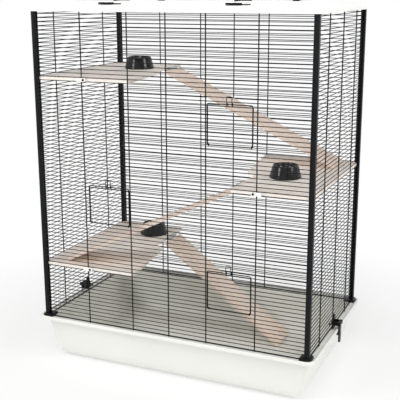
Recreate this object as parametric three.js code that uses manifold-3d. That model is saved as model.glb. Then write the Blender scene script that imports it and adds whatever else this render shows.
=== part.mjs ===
// Tall wire cage for ferrets, rats and other small pets: a moulded tray, four corner posts that
// hold wire walls, a moulded roof with a wire lid, three wooden platforms, three wooden ramps
// and three feeding bowls. Millimetres, +Z up, front towards -Y. The origin is the middle of the
// face that the tray stands on.
import * as THREE from 'three';
import { mergeVertices } from 'three/addons/utils/BufferGeometryUtils.js';
import Module from 'manifold-3d';

const wasm = await Module();
wasm.setup();

// ---------------------------------------------------------------- driving dimensions
const CLEAR = 0.3; // gap between pieces that touch
const BORE = 0.65; // a bore's radius over that of the round part in it

const TRAY_WIDTH = 780; // over the rim
const TRAY_DEPTH = 480;
const TRAY_HEIGHT = 130;
const TRAY_CORNER = 20; // radius of the rim's corners
const TRAY_CORNER_TAPER = 0.22; // loss of radius for each millimetre of inset
const RIM_BAND = 10; // height of the rim's outer band
const RIM_LIP = 5; // width of the raised lip round the ledge
const LEDGE_DROP = 4; // depth of the ledge below the lip
const LEDGE_INSET = 26; // the ledge's inner edge from the rim's face
const CAGE_INSET = 14; // the posts' outer faces from the rim's face
const TRAY_OUTSIDE = [ // inset from the rim's face, height: the outer wall from the bottom up
  [70, 0], [56, 3], [44, 12], [36, 26], [31, 45], [26, 70], [17, TRAY_HEIGHT - RIM_BAND],
];
const TRAY_INSIDE = [[30, 70], [35, 45], [40, 28], [46, 15], [52, 8], [60, 5]]; // downwards
const [, TRAY_FLOOR] = TRAY_INSIDE.at(-1);

const POST = 13; // side of a post
const POST_RADIUS = 3; // round outer edge
const GROOVE_DEPTH = 4.3;
const POST_LENGTH = 818.4;
const FOOT_OUT = 5; // how far a post's foot stands out past its outer faces
const FOOT_IN = 12; // how far it runs inwards along the walls
const FOOT_ROUND = 8; // its outer corner
const FOOT_HEIGHT = 7.7;

const WIRE = 2; // cross wires
const UPRIGHT = 3; // upright wires
const EDGE_WIRE = 3; // wires down the edges of a wall
const RAIL = 3.2; // height of the top and bottom rails
const WIRE_PITCH = 10.4;
const ROW_ZERO_RISE = 2; // row that the cross wires are counted from, above the bottom rail
const WALL_INSET = 6; // cross wires' middle from the posts' outer face
const WALL_EDGE = 3.7; // how far a wall reaches into the posts' grooves
const DOOR_UPRIGHT = 104; // the upright that a door closes beside, from the middle
const SIDE_UPRIGHT = 127; // a side wall's outer uprights, from its middle
const SIDE_UPRIGHTS = [-SIDE_UPRIGHT, 0, SIDE_UPRIGHT];
const UPRIGHT_SIDES = 8; // flats round an upright of the front wall

const DOOR_WIDTH = 118;
const DOOR_ROWS = 9; // wire pitches from the hinge wire to the wire above the opening
const DOOR_FRAME = 3; // width of the door's frame wire
const DOOR_DEPTH = 2.6; // thickness of the door
const DOOR_NEAR = 1.75; // its near side, outwards of the cross wires' middle
const DOOR_SIDE_GAP = 1; // between the door and the upright beside it
const DOOR_OUTER_GAP = 9; // between the door and the outer upright
// The upright that the platforms are clamped to, from the middle.
const OUTER_UPRIGHT = DOOR_UPRIGHT + UPRIGHT + DOOR_SIDE_GAP + DOOR_WIDTH + DOOR_OUTER_GAP;
const FRONT_UPRIGHTS = [-OUTER_UPRIGHT, -DOOR_UPRIGHT, 0, DOOR_UPRIGHT, OUTER_UPRIGHT];
const JAMB = 2; // wire down each side of a door opening
const HINGE_INSET = 8; // hinge eyes from the door's corners
const HINGE_EYE = [1.8, 3.4]; // inner and outer radius
const HINGE_EYE_WIDTH = 3;
const LATCH_EYE = [2.4, 3.9];
const LATCH_SPAN = 15; // width of the wire latch
const LATCH_WIRE = 1.8;
const LATCH_ROWS = 2; // wire that the latch lies over, counted from the opening's top wire
const DOORS = [ // cross wire it hangs on, counted from the bottom rail, and its side
  { name: 'upper_door', row: 49, side: 1 },
  { name: 'middle_door', row: 27, side: -1 },
  { name: 'lower_door', row: 9, side: 1 },
];

const ROOF_OVERHANG = 2; // past the posts
const ROOF_CORNER = 5;
const ROOF_RISE = 26; // from the skirt's lower edge to the crown
const ROOF_SKIRT = 7.7; // how far the skirt hangs past the top of the posts
const ROOF_HOLLOW = 13; // underside of the border, below the crown
const ROOF_BORDER = 60; // from the roof's edge to the lid's opening
const ROOF_EDGE = [ // inset, drop below the crown, corner radius: from the skirt to the crown
  [0, 15, 5], [4, 11, 12], [14, 9.5, 22], [30, 8.5, 20], [46, 1.5, 12], [56, 0, 8],
];
const ROOF_CLIP_X = 167; // middle of a clip on the roof's front slope
const ROOF_CLIP_PLACE = [14, 29]; // its front and back edges from the roof's edge
const ROOF_CLIP_FACE = [19, 4]; // half width, corner radius
const ROOF_CLIP_HEIGHT = 4.6;
const ROOF_CLIP_TAIL = [22, 2.6]; // reach past the clip, thickness
const LID_STEP = 6; // width of the step that the lid rests on
const LID_STEP_DROP = 10; // step below the crown
const LID_SEAT = 0.6; // clearance under the lid
const LID_GAP = 0.9; // clearance round it
const LID_DEPTH = 2.5; // thickness of the lid's frame and bars
const LID_FRAME = 2.5; // width of its frame
const LID_STAYS = FRONT_UPRIGHTS;
const LID_STAY = 1.9; // rise of the stays over the bars
const LID_HINGE_X = 200;
const LID_HINGE_REACH = 8; // hinge pin behind the opening's edge
const LID_HINGE_WIDTH = 24;
const LID_HINGE_FOOT = [16, 2.4]; // reach behind the pin, thickness
const LID_PIN = 1.5;
const LID_EYE = [1.9, 3.6];
const LID_LEAF = [7.5, 2]; // reach over the lid, thickness
const EAR = 3; // thickness of the ears that carry a pin
const LID_LATCH_X = 160;
const LID_LATCH_INSET = 7; // pivot from the lid's front edge
const LID_LATCH_HUB = [7, 5]; // radii of the blade's round end and of the hub under it
const LID_LATCH_BLADE = 4; // thickness
const LID_LATCH_FINGER = [18, 9]; // reach over the roof from the pivot, width
const LID_LATCH_TAIL = [34, 3]; // reach from the pivot, thickness
const LID_LATCH_PIN = [2, 9.5]; // radius, length below the blade

const BOARD = 8; // thickness of the platforms and ramps
const NOTCH_GAP = 0.7; // between a platform and a post
// Free edge of a platform from the front wall to the back, for the left side of the cage:
// distance left of the middle, distance behind it, corner radius. The last point's distance
// behind is the back wall's.
const FREE_EDGE = [[131, 0, 7], [134, 15, 5], [166, 22, 5]];
const NOSE = 100; // end of the free edge at the front wall, from the cage's middle
const SHELVES = [ // cross wire under the board's edge, and side of the cage
  { name: 'upper_platform', row: 62, side: -1 },
  { name: 'right_platform', row: 38, side: 1 },
  { name: 'lower_platform', row: 14, side: -1 },
];
const CLAMP = [13, 9, 3]; // half width, height, thickness of the plate over an upright
const CLAMP_ROUND = 2.5; // its corners
const CLAMP_LUG = [8, 7.6]; // width, height of the lug between two cross wires
const SCREW_ASIDE = 7.5; // screw's middle from the upright's, towards the cage's middle
const SCREW_SHANK = 1.5;
const SCREW_HEAD = [2.8, 1.6]; // radius, thickness
const SCREW_SIDES = 12;
const SCREW_GRIP = 18; // length in the board

const ROD = 2; // radius of the rod that a ramp hangs on
const ROD_SPAN = 64; // between its legs
const ROD_GRIP = 14; // length of its legs in the board
const ROD_REACH = 4.6; // rod's middle from the board's edge
const HANGER_EYE = [ROD + BORE, 4.2];
const HANGER_WIDTH = 50;
const HANGER_SHEET = 1.6;
const HANGER_TONGUE = 40; // length under the ramp
const RAMP_GAP = 0.5; // between a ramp's head and its hanger
const RAMP_WIDTH = 98;
const RAMP_DROP = 8; // a ramp's head below the top of its platform
const RAMP_ROUND = 14; // corners at a ramp's foot
const RAMP_ASIDE = 150; // ramps' middle from the cage's middle, towards the front or the back
const LOWER_RAMP_ASIDE = 134; // clear of the fillet round the tray's floor
const UPPER_RAMP_GAP = 45; // ramps' feet from the outer faces of the posts across from them
const MIDDLE_RAMP_GAP = 62;
const LOWER_RAMP_GAP = 184;
// Platform a ramp hangs on, the one it stands on, its foot from the posts' outer faces, and
// whether it is at the front or the back.
const RAMPS = [
  {
    name: 'upper_ramp', from: 'upper_platform', to: 'right_platform',
    gap: UPPER_RAMP_GAP, y: RAMP_ASIDE,
  },
  {
    name: 'middle_ramp', from: 'right_platform', to: 'lower_platform',
    gap: MIDDLE_RAMP_GAP, y: -RAMP_ASIDE,
  },
  { name: 'lower_ramp', from: 'lower_platform', to: null, gap: LOWER_RAMP_GAP, y: LOWER_RAMP_ASIDE },
];

const BOWL_STEPS = 16;
const BOWL_PROFILE = [ // radius, height: from the middle of the hollow underside, outwards
  [0, 6], [19, 6], [25, 26], [30, 29], [38.5, 0], [41, 0], [41, 2.5], [33, 31], [31.5, 33],
  [29.5, 32], [21.5, 11], [18, 8.5], [0, 8.5],
];
const UPPER_BOWL = [-222, 65]; // middles of the bowls, from the cage's middle
const RIGHT_BOWL = [246, -40];
const LOWER_BOWL = [-220, 133];
const BOWLS = [
  { name: 'upper_bowl', on: 'upper_platform', at: UPPER_BOWL },
  { name: 'right_bowl', on: 'right_platform', at: RIGHT_BOWL },
  { name: 'lower_bowl', on: 'lower_platform', at: LOWER_BOWL },
];

const CLIP_PIVOT_OUT = 2; // pivot outwards of the rim's face
const CLIP_PIVOT_RISE = 14; // pivot above the rim
const CLIP_PIN = 2;
const CLIP_EYE = [CLIP_PIN + BORE, 5];
const CLIP_EYE_WIDTH = 17;
const SADDLE_SHEET = 4;
const SADDLE_FACE = [[15, 0, 3], [11, 14, 6], [3, 36, 2]]; // half width, rise, corner radius
const SADDLE_FINGER = [10, 4, 2]; // distance from the middle, width, thickness
const LEVER_SHEET = 4;
const LEVER_FACE = [[8.5, -3.2, 1], [8.5, -9, 4], [6, -24, 8], [8, -43, 7], [5, -54, 4]];
const LEVER_GAP = 1; // between the lever and the rim's face
const LEVER_CATCH = [5, 7.7, 7]; // reach under the band, height, half width

// ---------------------------------------------------------------- places worked out from them
const HALF_WIDTH = TRAY_WIDTH / 2 - CAGE_INSET;
const HALF_DEPTH = TRAY_DEPTH / 2 - CAGE_INSET;
const LEDGE_Z = TRAY_HEIGHT - LEDGE_DROP;
const WALL_BOTTOM_Z = LEDGE_Z + CLEAR;
const FOOT_TOP_Z = WALL_BOTTOM_Z + FOOT_HEIGHT;
const POST_TOP_Z = FOOT_TOP_Z + POST_LENGTH;
// Depths in a wall: outwards is positive, 0 is the middle of the cross wires.
const BEHIND_WIRES = WIRE / 2 + CLEAR;
const UPRIGHT_NEAR = BEHIND_WIRES;
const UPRIGHT_FAR = UPRIGHT_NEAR + UPRIGHT;
const DOOR_MIDDLE = DOOR_NEAR + DOOR_DEPTH / 2;
const ROW_ZERO_Z = WALL_BOTTOM_Z + ROW_ZERO_RISE;
const wireZ = (row) => ROW_ZERO_Z + row * WIRE_PITCH;
const WIRE_ROWS = Math.floor((POST_TOP_Z - RAIL - WIRE - ROW_ZERO_Z) / WIRE_PITCH);
const PLATFORMS = SHELVES.map((shelf) => ({ ...shelf, top: wireZ(shelf.row + 0.5) + BOARD / 2 }));
const BOARD_HALF_X = HALF_WIDTH - WALL_INSET - BEHIND_WIRES;
const BOARD_HALF_Y = HALF_DEPTH - WALL_INSET - BEHIND_WIRES;
const ROOF_HALF_X = HALF_WIDTH + ROOF_OVERHANG;
const ROOF_HALF_Y = HALF_DEPTH + ROOF_OVERHANG;
const ROOF_UNDER_Z = POST_TOP_Z + CLEAR;
const ROOF_SKIRT_Z = ROOF_UNDER_Z - ROOF_SKIRT;
const CROWN_Z = ROOF_SKIRT_Z + ROOF_RISE;
const LID_STEP_Z = CROWN_Z - LID_STEP_DROP;
const LID_Z = LID_STEP_Z + LID_SEAT;
const LID_TOP_Z = LID_Z + LID_DEPTH;
const LID_HALF_X = ROOF_HALF_X - ROOF_BORDER - LID_GAP;
const LID_HALF_Y = ROOF_HALF_Y - ROOF_BORDER - LID_GAP;
const LID_PIN_Y = ROOF_HALF_Y - ROOF_BORDER + LID_HINGE_REACH;
const LID_PIN_Z = CROWN_Z + CLEAR + LID_EYE[1] + CLEAR;
const ON_CROWN_Z = CROWN_Z + CLEAR;

// ---------------------------------------------------------------- finishes
const finish = (color, roughness, metalness = 0) =>
  new THREE.MeshStandardMaterial({ color, roughness, metalness });
const WHITE_PLASTIC = finish('#eceeea', 0.35);
const ROOF_PLASTIC = finish('#faf9f8', 0.35);
const BLACK_PLASTIC = finish('#16191d', 0.3);
const GLOSS_BLACK = finish('#0c0d10', 0.12);
const BLACK_WIRE = finish('#141518', 0.38, 0.4);
const ZINC_STEEL = finish('#b9bcbf', 0.3, 1);
const PALE_WOOD = finish('#f4e6da', 0.6);

// ---------------------------------------------------------------- solids
/** Closed solid of a geometry, for joining and cutting. */
function solid(geometry) {
  const bare = new THREE.BufferGeometry();
  bare.setAttribute('position', geometry.getAttribute('position'));
  bare.setIndex(geometry.getIndex());
  const merged = mergeVertices(bare, 1e-4);
  return new wasm.Manifold(new wasm.Mesh({
    numProp: 3,
    vertProperties: new Float32Array(merged.getAttribute('position').array),
    triVerts: new Uint32Array(merged.getIndex().array),
  }));
}

/** Geometry of a joined or cut solid. */
function geometryOf(body) {
  const mesh = body.getMesh();
  const geometry = new THREE.BufferGeometry();
  geometry.setAttribute('position', new THREE.BufferAttribute(mesh.vertProperties, 3));
  geometry.setIndex(new THREE.BufferAttribute(mesh.triVerts, 1));
  geometry.computeVertexNormals();
  return geometry;
}

/** One solid of several that overlap. */
const join = (...pieces) => geometryOf(pieces.map(solid).reduce((sum, next) => sum.add(next)));

/** A solid less others. */
const cut = (piece, ...tools) =>
  geometryOf(tools.map(solid).reduce((rest, tool) => rest.subtract(tool), solid(piece)));

/** What two solids have in common. */
const common = (a, b) => geometryOf(solid(a).intersect(solid(b)));

/** Box between two opposite corners. */
function block(a, b) {
  const size = b.map((value, axis) => Math.abs(value - a[axis]));
  const middle = b.map((value, axis) => (value + a[axis]) / 2);
  return new THREE.BoxGeometry(...size).translate(...middle);
}

/** Shape through points. */
const outline = (points) => new THREE.Shape(points.map(([x, y]) => new THREE.Vector2(x, y)));

/** Corner points of a rectangle. */
const rectangle = (x0, x1, y0, y1) => [[x0, y0], [x1, y0], [x1, y1], [x0, y1]];

/** Points mirrored from the right of the middle to the left, to make a closed outline. */
const mirrored = (half) => [...half, ...half.map(([x, ...rest]) => [-x, ...rest]).reverse()];

/** Shape whose corners, given as X, Y and radius, are rounded. */
function roundedOutline(corners) {
  const shape = new THREE.Shape();
  corners.forEach(([x, y, radius], i) => {
    const here = new THREE.Vector2(x, y);
    const [before, after] = [corners.at(i - 1), corners[(i + 1) % corners.length]]
      .map(([nx, ny]) => new THREE.Vector2(nx, ny).sub(here).setLength(radius).add(here));
    if (i === 0) shape.moveTo(before.x, before.y);
    else shape.lineTo(before.x, before.y);
    if (radius > 0) shape.quadraticCurveTo(x, y, after.x, after.y);
  });
  shape.closePath();
  return shape;
}

/** Shape drawn in X and Y, made a plate from z0 to z1. */
function plate(shape, z0, z1, steps = 4) {
  const options = { depth: z1 - z0, bevelEnabled: false, curveSegments: steps };
  return new THREE.ExtrudeGeometry(shape, options).translate(0, 0, z0);
}

/** Shape drawn in X and Z of a wall, made a sheet between two depths outwards (-Y). */
const sheet = (shape, near, far) => plate(shape, near, far).rotateX(Math.PI / 2);

/** Sheet in a wall with rectangular windows, each between two opposite corners. */
const grille = (shape, windows, near, far) => cut(sheet(shape, near, far),
  ...windows.map(([[x0, z0], [x1, z1]]) => block([x0, 1 - near, z0], [x1, -far - 1, z1])));

/** Section drawn as [outwards, height] in a wall, carried along X. */
function strip(section, width) {
  const turn = new THREE.Matrix4().set(0, 0, -1, 0, -1, 0, 0, 0, 0, 1, 0, 0, 0, 0, 0, 1);
  return plate(outline(section), -width / 2, width / 2).applyMatrix4(turn);
}

/** Corner points of a regular eight-sided outline about a point. */
const octagon = (radius, [x, y]) => Array.from({ length: 8 }, (_, i) =>
  [x + radius * Math.cos(i * Math.PI / 4), y + radius * Math.sin(i * Math.PI / 4)]);

/** Eye round an axis along X at [outwards, height]. */
const eye = ([inner, outer], width, at) =>
  cut(strip(octagon(outer, at), width), strip(octagon(inner, at), width + 1));

/** Round bar along X at [outwards, height]. */
const bar = (radius, width, at) => strip(octagon(radius, at), width);

/** Corner points of one ring of a moulding with rounded corners, anticlockwise from above. */
function roundedRing(halfX, halfY, radius, z, steps) {
  const centres = [[1, -1], [1, 1], [-1, 1], [-1, -1]];
  return centres.flatMap(([sx, sy], corner) =>
    Array.from({ length: steps + 1 }, (_, i) => {
      const angle = (corner - 1 + i / steps) * Math.PI / 2;
      return [
        sx * (halfX - radius) + radius * Math.cos(angle),
        sy * (halfY - radius) + radius * Math.sin(angle),
        z,
      ];
    }));
}

/** Skin over rings. It closes on itself, or is capped flat at its first and last ring. */
function skin(rings, loops) {
  const count = rings[0].length;
  const faces = [];
  const last = loops ? rings.length : rings.length - 1;
  for (let j = 0; j < last; j += 1) {
    const [low, high] = [j * count, ((j + 1) % rings.length) * count];
    for (let i = 0; i < count; i += 1) {
      const next = (i + 1) % count;
      faces.push(low + i, low + next, high + next, low + i, high + next, high + i);
    }
  }
  if (!loops) {
    const top = (rings.length - 1) * count;
    for (let i = 1; i < count - 1; i += 1) {
      faces.push(0, i + 1, i, top, top + i, top + i + 1);
    }
  }
  const geometry = new THREE.BufferGeometry();
  geometry.setAttribute('position', new THREE.Float32BufferAttribute(rings.flat(2), 3));
  geometry.setIndex(faces);
  geometry.computeVertexNormals();
  return geometry;
}

// ---------------------------------------------------------------- tray
/** Tub with a drafted wall and a flanged rim, whose ledge the posts and walls stand on. */
function trayGeometry() {
  const profile = [
    ...TRAY_OUTSIDE,
    [0, TRAY_HEIGHT - RIM_BAND], [0, TRAY_HEIGHT], [RIM_LIP, TRAY_HEIGHT],
    [RIM_LIP, LEDGE_Z], [LEDGE_INSET, LEDGE_Z],
    ...TRAY_INSIDE,
  ];
  return skin(profile.map(([inset, z]) => roundedRing(TRAY_WIDTH / 2 - inset,
    TRAY_DEPTH / 2 - inset, TRAY_CORNER - TRAY_CORNER_TAPER * inset, z, 6)), false);
}

// ---------------------------------------------------------------- posts and feet
/** Moulded post with a groove for each of its two walls, on a foot that stands on the ledge. */
function postGeometry() {
  const [low, high] = [-1, 1].map((way) => WALL_INSET + way * BEHIND_WIRES);
  const bottom = POST - GROOVE_DEPTH;
  const shape = outline([
    [POST_RADIUS, 0], [POST, 0], [POST, low], [bottom, low], [bottom, high], [POST, high],
    [POST, POST], [high, POST], [high, bottom], [low, bottom], [low, POST],
    [0, POST], [0, POST_RADIUS],
  ]);
  shape.absarc(POST_RADIUS, POST_RADIUS, POST_RADIUS, Math.PI, 1.5 * Math.PI);
  const [near, far] = [-FOOT_OUT, POST + FOOT_IN];
  const foot = roundedOutline([[near, near, FOOT_ROUND], [far, near, POST_RADIUS],
    [far, far, POST_RADIUS], [near, far, POST_RADIUS]]);
  return join(plate(shape, FOOT_TOP_Z - 1, POST_TOP_Z, 5),
    plate(foot, WALL_BOTTOM_Z, FOOT_TOP_Z));
}

/** Frame for one corner, turned so that its X and Y run inwards along the two walls. */
function cornerFrame(turns) {
  const [sx, sy] = [[-1, -1], [1, -1], [1, 1], [-1, 1]][turns];
  return new THREE.Matrix4().makeRotationZ(turns * Math.PI / 2)
    .setPosition(sx * HALF_WIDTH, sy * HALF_DEPTH, 0);
}

// ---------------------------------------------------------------- wire walls
/** Door's place on the front wall: its left and right edges and their middle. */
function doorSpan({ side }) {
  const inner = DOOR_UPRIGHT + UPRIGHT / 2 + DOOR_SIDE_GAP;
  const [left, right] = [side * inner, side * (inner + DOOR_WIDTH)].sort((a, b) => a - b);
  return { left, right, middle: (left + right) / 2 };
}

/** Holes of the sheet of cross wires: the slots between them, and the doorways. */
function wallHoles(half, footHalf, doors) {
  const holes = [];
  const jamb = (DOOR_FRAME - JAMB) / 2;
  for (let row = 0; row <= WIRE_ROWS; row += 1) {
    const low = row === 0 ? WALL_BOTTOM_Z + RAIL : wireZ(row) + WIRE / 2;
    const high = row === WIRE_ROWS ? POST_TOP_Z - RAIL : wireZ(row + 1) - WIRE / 2;
    const end = (row === 0 ? footHalf : half) - EDGE_WIRE;
    const door = doors.find((one) => row >= one.row && row < one.row + DOOR_ROWS);
    if (door) {
      const { left, right } = doorSpan(door);
      holes.push([[-end, low], [left + jamb, high]], [[right - jamb, low], [end, high]]);
    } else {
      holes.push([[-end, low], [end, high]]);
    }
  }
  for (const door of doors) {
    const { left, right } = doorSpan(door);
    holes.push([[left + jamb + JAMB, wireZ(door.row) + WIRE / 2],
      [right - jamb - JAMB, wireZ(door.row + DOOR_ROWS) - WIRE / 2]]);
  }
  return holes;
}

/** Cross wires between two edge wires and two rails, in one layer. */
function meshGeometry(cageHalf, doors = []) {
  const postHalf = cageHalf - POST;
  const half = postHalf + WALL_EDGE;
  const footHalf = postHalf - FOOT_IN - CLEAR;
  const step = wireZ(1) - WIRE / 2;
  const face = outline([
    [-footHalf, WALL_BOTTOM_Z], [footHalf, WALL_BOTTOM_Z], [footHalf, step], [half, step],
    [half, POST_TOP_Z], [-half, POST_TOP_Z], [-half, step], [-footHalf, step],
  ]);
  return grille(face, wallHoles(half, footHalf, doors), -WIRE / 2, WIRE / 2);
}

/** Wire wall with uprights welded to its two rails. */
function wallGeometry(cageHalf, uprights) {
  const postHalf = cageHalf - POST;
  const rail = (z, reach) => block([-reach, -UPRIGHT_FAR, z], [reach, WIRE / 2, z + RAIL]);
  const stems = uprights.map((u) => block([u - UPRIGHT / 2, -UPRIGHT_FAR, WALL_BOTTOM_Z],
    [u + UPRIGHT / 2, -UPRIGHT_NEAR, POST_TOP_Z]));
  return join(meshGeometry(cageHalf), rail(WALL_BOTTOM_Z, postHalf - FOOT_IN - CLEAR),
    rail(POST_TOP_Z - RAIL, postHalf - CLEAR), ...stems);
}

/** Upright of the front wall, in front of its cross wires. */
function uprightGeometry(u) {
  const height = POST_TOP_Z - WALL_BOTTOM_Z;
  return new THREE.CylinderGeometry(UPRIGHT / 2, UPRIGHT / 2, height, UPRIGHT_SIDES)
    .rotateX(Math.PI / 2).translate(u, -(UPRIGHT_NEAR + UPRIGHT_FAR) / 2, WALL_BOTTOM_Z + height / 2);
}

/** Frame for one wall, turned so that -Y points outwards and 0 is the cross wires' middle. */
function wallFrame(turns, cageHalf) {
  const angle = turns * Math.PI / 2;
  const reach = cageHalf - WALL_INSET;
  return new THREE.Matrix4().makeRotationZ(angle)
    .setPosition(reach * Math.sin(angle), -reach * Math.cos(angle), 0);
}

// ---------------------------------------------------------------- doors and their latches
/** Drop-down wire door, with two eyes round the cross wire that it hangs on. */
function doorGeometry(door) {
  const { left, right } = doorSpan(door);
  const hingeZ = wireZ(door.row);
  const low = hingeZ - DOOR_FRAME / 2;
  const high = hingeZ + (DOOR_ROWS + 0.5) * WIRE_PITCH + DOOR_FRAME / 2;
  const holes = Array.from({ length: DOOR_ROWS + 1 }, (_, i) => {
    const from = i === 0 ? low + DOOR_FRAME : hingeZ + i * WIRE_PITCH + WIRE / 2;
    const to = i === DOOR_ROWS ? high - DOOR_FRAME : hingeZ + (i + 1) * WIRE_PITCH - WIRE / 2;
    return [[left + DOOR_FRAME, from], [right - DOOR_FRAME, to]];
  });
  const face = outline(rectangle(left, right, low, high));
  const eyes = [left + HINGE_INSET, right - HINGE_INSET]
    .map((u) => eye(HINGE_EYE, HINGE_EYE_WIDTH, [0, hingeZ]).translate(u, 0, 0));
  return join(grille(face, holes, DOOR_NEAR, DOOR_NEAR + DOOR_DEPTH), ...eyes);
}

/** Bent wire latch on the door's top wire, resting against the wall's cross wires. */
function latchGeometry(door) {
  const { middle } = doorSpan(door);
  const pivotZ = wireZ(door.row + DOOR_ROWS + 0.5);
  const restZ = wireZ(door.row + DOOR_ROWS + LATCH_ROWS) + BEHIND_WIRES;
  const near = DOOR_MIDDLE + LATCH_EYE[0];
  const half = LATCH_SPAN / 2;
  const arms = [-1, 1].flatMap((side) => {
    const [from, to] = [side * half, side * (half - LATCH_WIRE)].map((u) => middle + u);
    return [
      eye(LATCH_EYE, LATCH_WIRE, [DOOR_MIDDLE, pivotZ]).translate((from + to) / 2, 0, 0),
      block([from, -near - LATCH_WIRE, pivotZ], [to, -near, restZ + LATCH_WIRE]),
      block([from, -near - LATCH_WIRE, restZ], [to, -BEHIND_WIRES, restZ + LATCH_WIRE]),
    ];
  });
  return join(...arms, block([middle - half, -BEHIND_WIRES, restZ],
    [middle + half, -BEHIND_WIRES - LATCH_WIRE, restZ + LATCH_WIRE]));
}

// ---------------------------------------------------------------- roof, lid and its fittings
/** Moulded roof frame: a stepped border with a skirt, and a step round the lid's opening. */
function roofGeometry() {
  const wall = ROOF_OVERHANG - CLEAR;
  const seat = ROOF_OVERHANG + POST + 2;
  const [inner, tight] = [ROOF_CORNER - wall, 1.5];
  const profile = [
    [0, ROOF_SKIRT_Z, ROOF_CORNER],
    ...ROOF_EDGE.map(([inset, drop, radius]) => [inset, CROWN_Z - drop, radius]),
    [ROOF_BORDER, CROWN_Z, tight], [ROOF_BORDER, LID_STEP_Z, tight],
    [ROOF_BORDER + LID_STEP, LID_STEP_Z, tight],
    [ROOF_BORDER + LID_STEP, CROWN_Z - ROOF_HOLLOW, tight],
    [seat, CROWN_Z - ROOF_HOLLOW, tight], [seat, ROOF_UNDER_Z, tight],
    [wall, ROOF_UNDER_Z, inner], [wall, ROOF_SKIRT_Z, inner],
  ];
  return skin(profile.map(([inset, z, radius]) => roundedRing(ROOF_HALF_X - inset,
    ROOF_HALF_Y - inset, radius, z, 4)), true);
}

/** Flat clip on the roof's front slope, with a tail to its right. */
function roofClipGeometry() {
  const [front, back] = ROOF_CLIP_PLACE.map((inset) => inset - ROOF_HALF_Y);
  const [half, round] = ROOF_CLIP_FACE;
  const [reach, thick] = ROOF_CLIP_TAIL;
  const [, drop] = ROOF_EDGE[3];
  const low = CROWN_Z - drop + CLEAR;
  const middle = (front + back) / 2;
  const face = roundedOutline([[-half, front, round], [half, front, round], [half, back, round],
    [-half, back, round]]);
  return join(plate(face, low, low + ROOF_CLIP_HEIGHT),
    block([0, middle - thick / 2, low], [half + reach, middle + thick / 2, low + thick]));
}

/** Wire lid: bars across its length in a frame, and stays over them. */
function lidGeometry() {
  const inner = LID_HALF_Y - LID_FRAME;
  const bars = Math.floor(2 * inner / WIRE_PITCH);
  const firstBar = -(bars - 1) * WIRE_PITCH / 2;
  const holes = Array.from({ length: bars + 1 }, (_, i) => {
    const from = i === 0 ? -inner : firstBar + (i - 1) * WIRE_PITCH + WIRE / 2;
    const to = i === bars ? inner : firstBar + i * WIRE_PITCH - WIRE / 2;
    return block([LID_FRAME - LID_HALF_X, from, LID_Z - 1],
      [LID_HALF_X - LID_FRAME, to, LID_TOP_Z + 1]);
  });
  const face = block([-LID_HALF_X, -LID_HALF_Y, LID_Z], [LID_HALF_X, LID_HALF_Y, LID_TOP_Z]);
  const stays = LID_STAYS.flatMap((x) => [
    block([x - WIRE / 2, -LID_HALF_Y, LID_TOP_Z + CLEAR],
      [x + WIRE / 2, LID_HALF_Y, LID_TOP_Z + LID_STAY]),
    ...[-1, 1].map((side) => block([x - WIRE / 2, side * LID_HALF_Y, LID_Z],
      [x + WIRE / 2, side * inner, LID_TOP_Z + LID_STAY])),
  ]);
  return join(cut(face, ...holes), ...stays);
}

/** Folded leaf on the lid's back edge with the eye that turns on the hinge pin. */
function lidLeafGeometry() {
  const [reach, thick] = LID_LEAF;
  const width = LID_HINGE_WIDTH - 2 * (EAR + CLEAR);
  const strap = block([-width / 2, LID_HALF_Y - reach, ON_CROWN_Z],
    [width / 2, LID_PIN_Y - LID_EYE[0], ON_CROWN_Z + thick]);
  const fold = block([-width / 2, LID_HALF_Y - reach, LID_TOP_Z + CLEAR],
    [width / 2, LID_HALF_Y, ON_CROWN_Z + thick]);
  return join(eye(LID_EYE, width, [-LID_PIN_Y, LID_PIN_Z]), strap, fold);
}

/** Hinge on the roof's back border: a foot, two ears and the pin. */
function lidHingeGeometry() {
  const [reach, thick] = LID_HINGE_FOOT;
  const half = LID_HINGE_WIDTH / 2;
  const behind = LID_PIN_Y + LID_EYE[1];
  const foot = block([-half, behind + CLEAR, ON_CROWN_Z],
    [half, LID_PIN_Y + reach, ON_CROWN_Z + thick]);
  const ears = [-1, 1].map((side) => block([side * half, LID_PIN_Y - LID_EYE[1], ON_CROWN_Z],
    [side * (half - EAR), behind + thick, LID_PIN_Z + LID_EYE[1]]));
  return join(foot, ...ears, bar(LID_PIN, LID_HINGE_WIDTH, [-LID_PIN_Y, LID_PIN_Z]));
}

/** Latch that turns on the lid's front edge: a finger over the roof and a thin tail. */
function lidLatchGeometry() {
  const [round, hub] = LID_LATCH_HUB;
  const [reach, width] = LID_LATCH_FINGER;
  const [tail, tailThick] = LID_LATCH_TAIL;
  const [pin, pinLength] = LID_LATCH_PIN;
  const top = ON_CROWN_Z + LID_LATCH_BLADE;
  const disc = (radius, from, to) => plate(outline(octagon(radius, [0, 0])), from, to);
  const finger = roundedOutline([[-width / 2, 0, 0], [-width / 2, -reach, width / 3],
    [width / 2, -reach, width / 3], [width / 2, 0, 0]]);
  const handle = roundedOutline([[0, -round, 0], [tail, -tailThick / 2, 1],
    [tail, tailThick / 2, 1], [0, round, 0]]);
  return join(disc(round, ON_CROWN_Z, top), plate(finger, ON_CROWN_Z, top),
    plate(handle, ON_CROWN_Z, ON_CROWN_Z + tailThick),
    disc(hub, LID_TOP_Z + CLEAR, top), disc(pin, ON_CROWN_Z - pinLength, top));
}

// ---------------------------------------------------------------- platforms and their clamps
/** Ramp that hangs on a platform. */
const rampOf = (platform) => RAMPS.find(({ from }) => from === platform.name);

/** X of the edge that a platform's ramp hangs on. */
const rampEdge = ({ side }) => side * FREE_EDGE.at(-1)[0];

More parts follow.
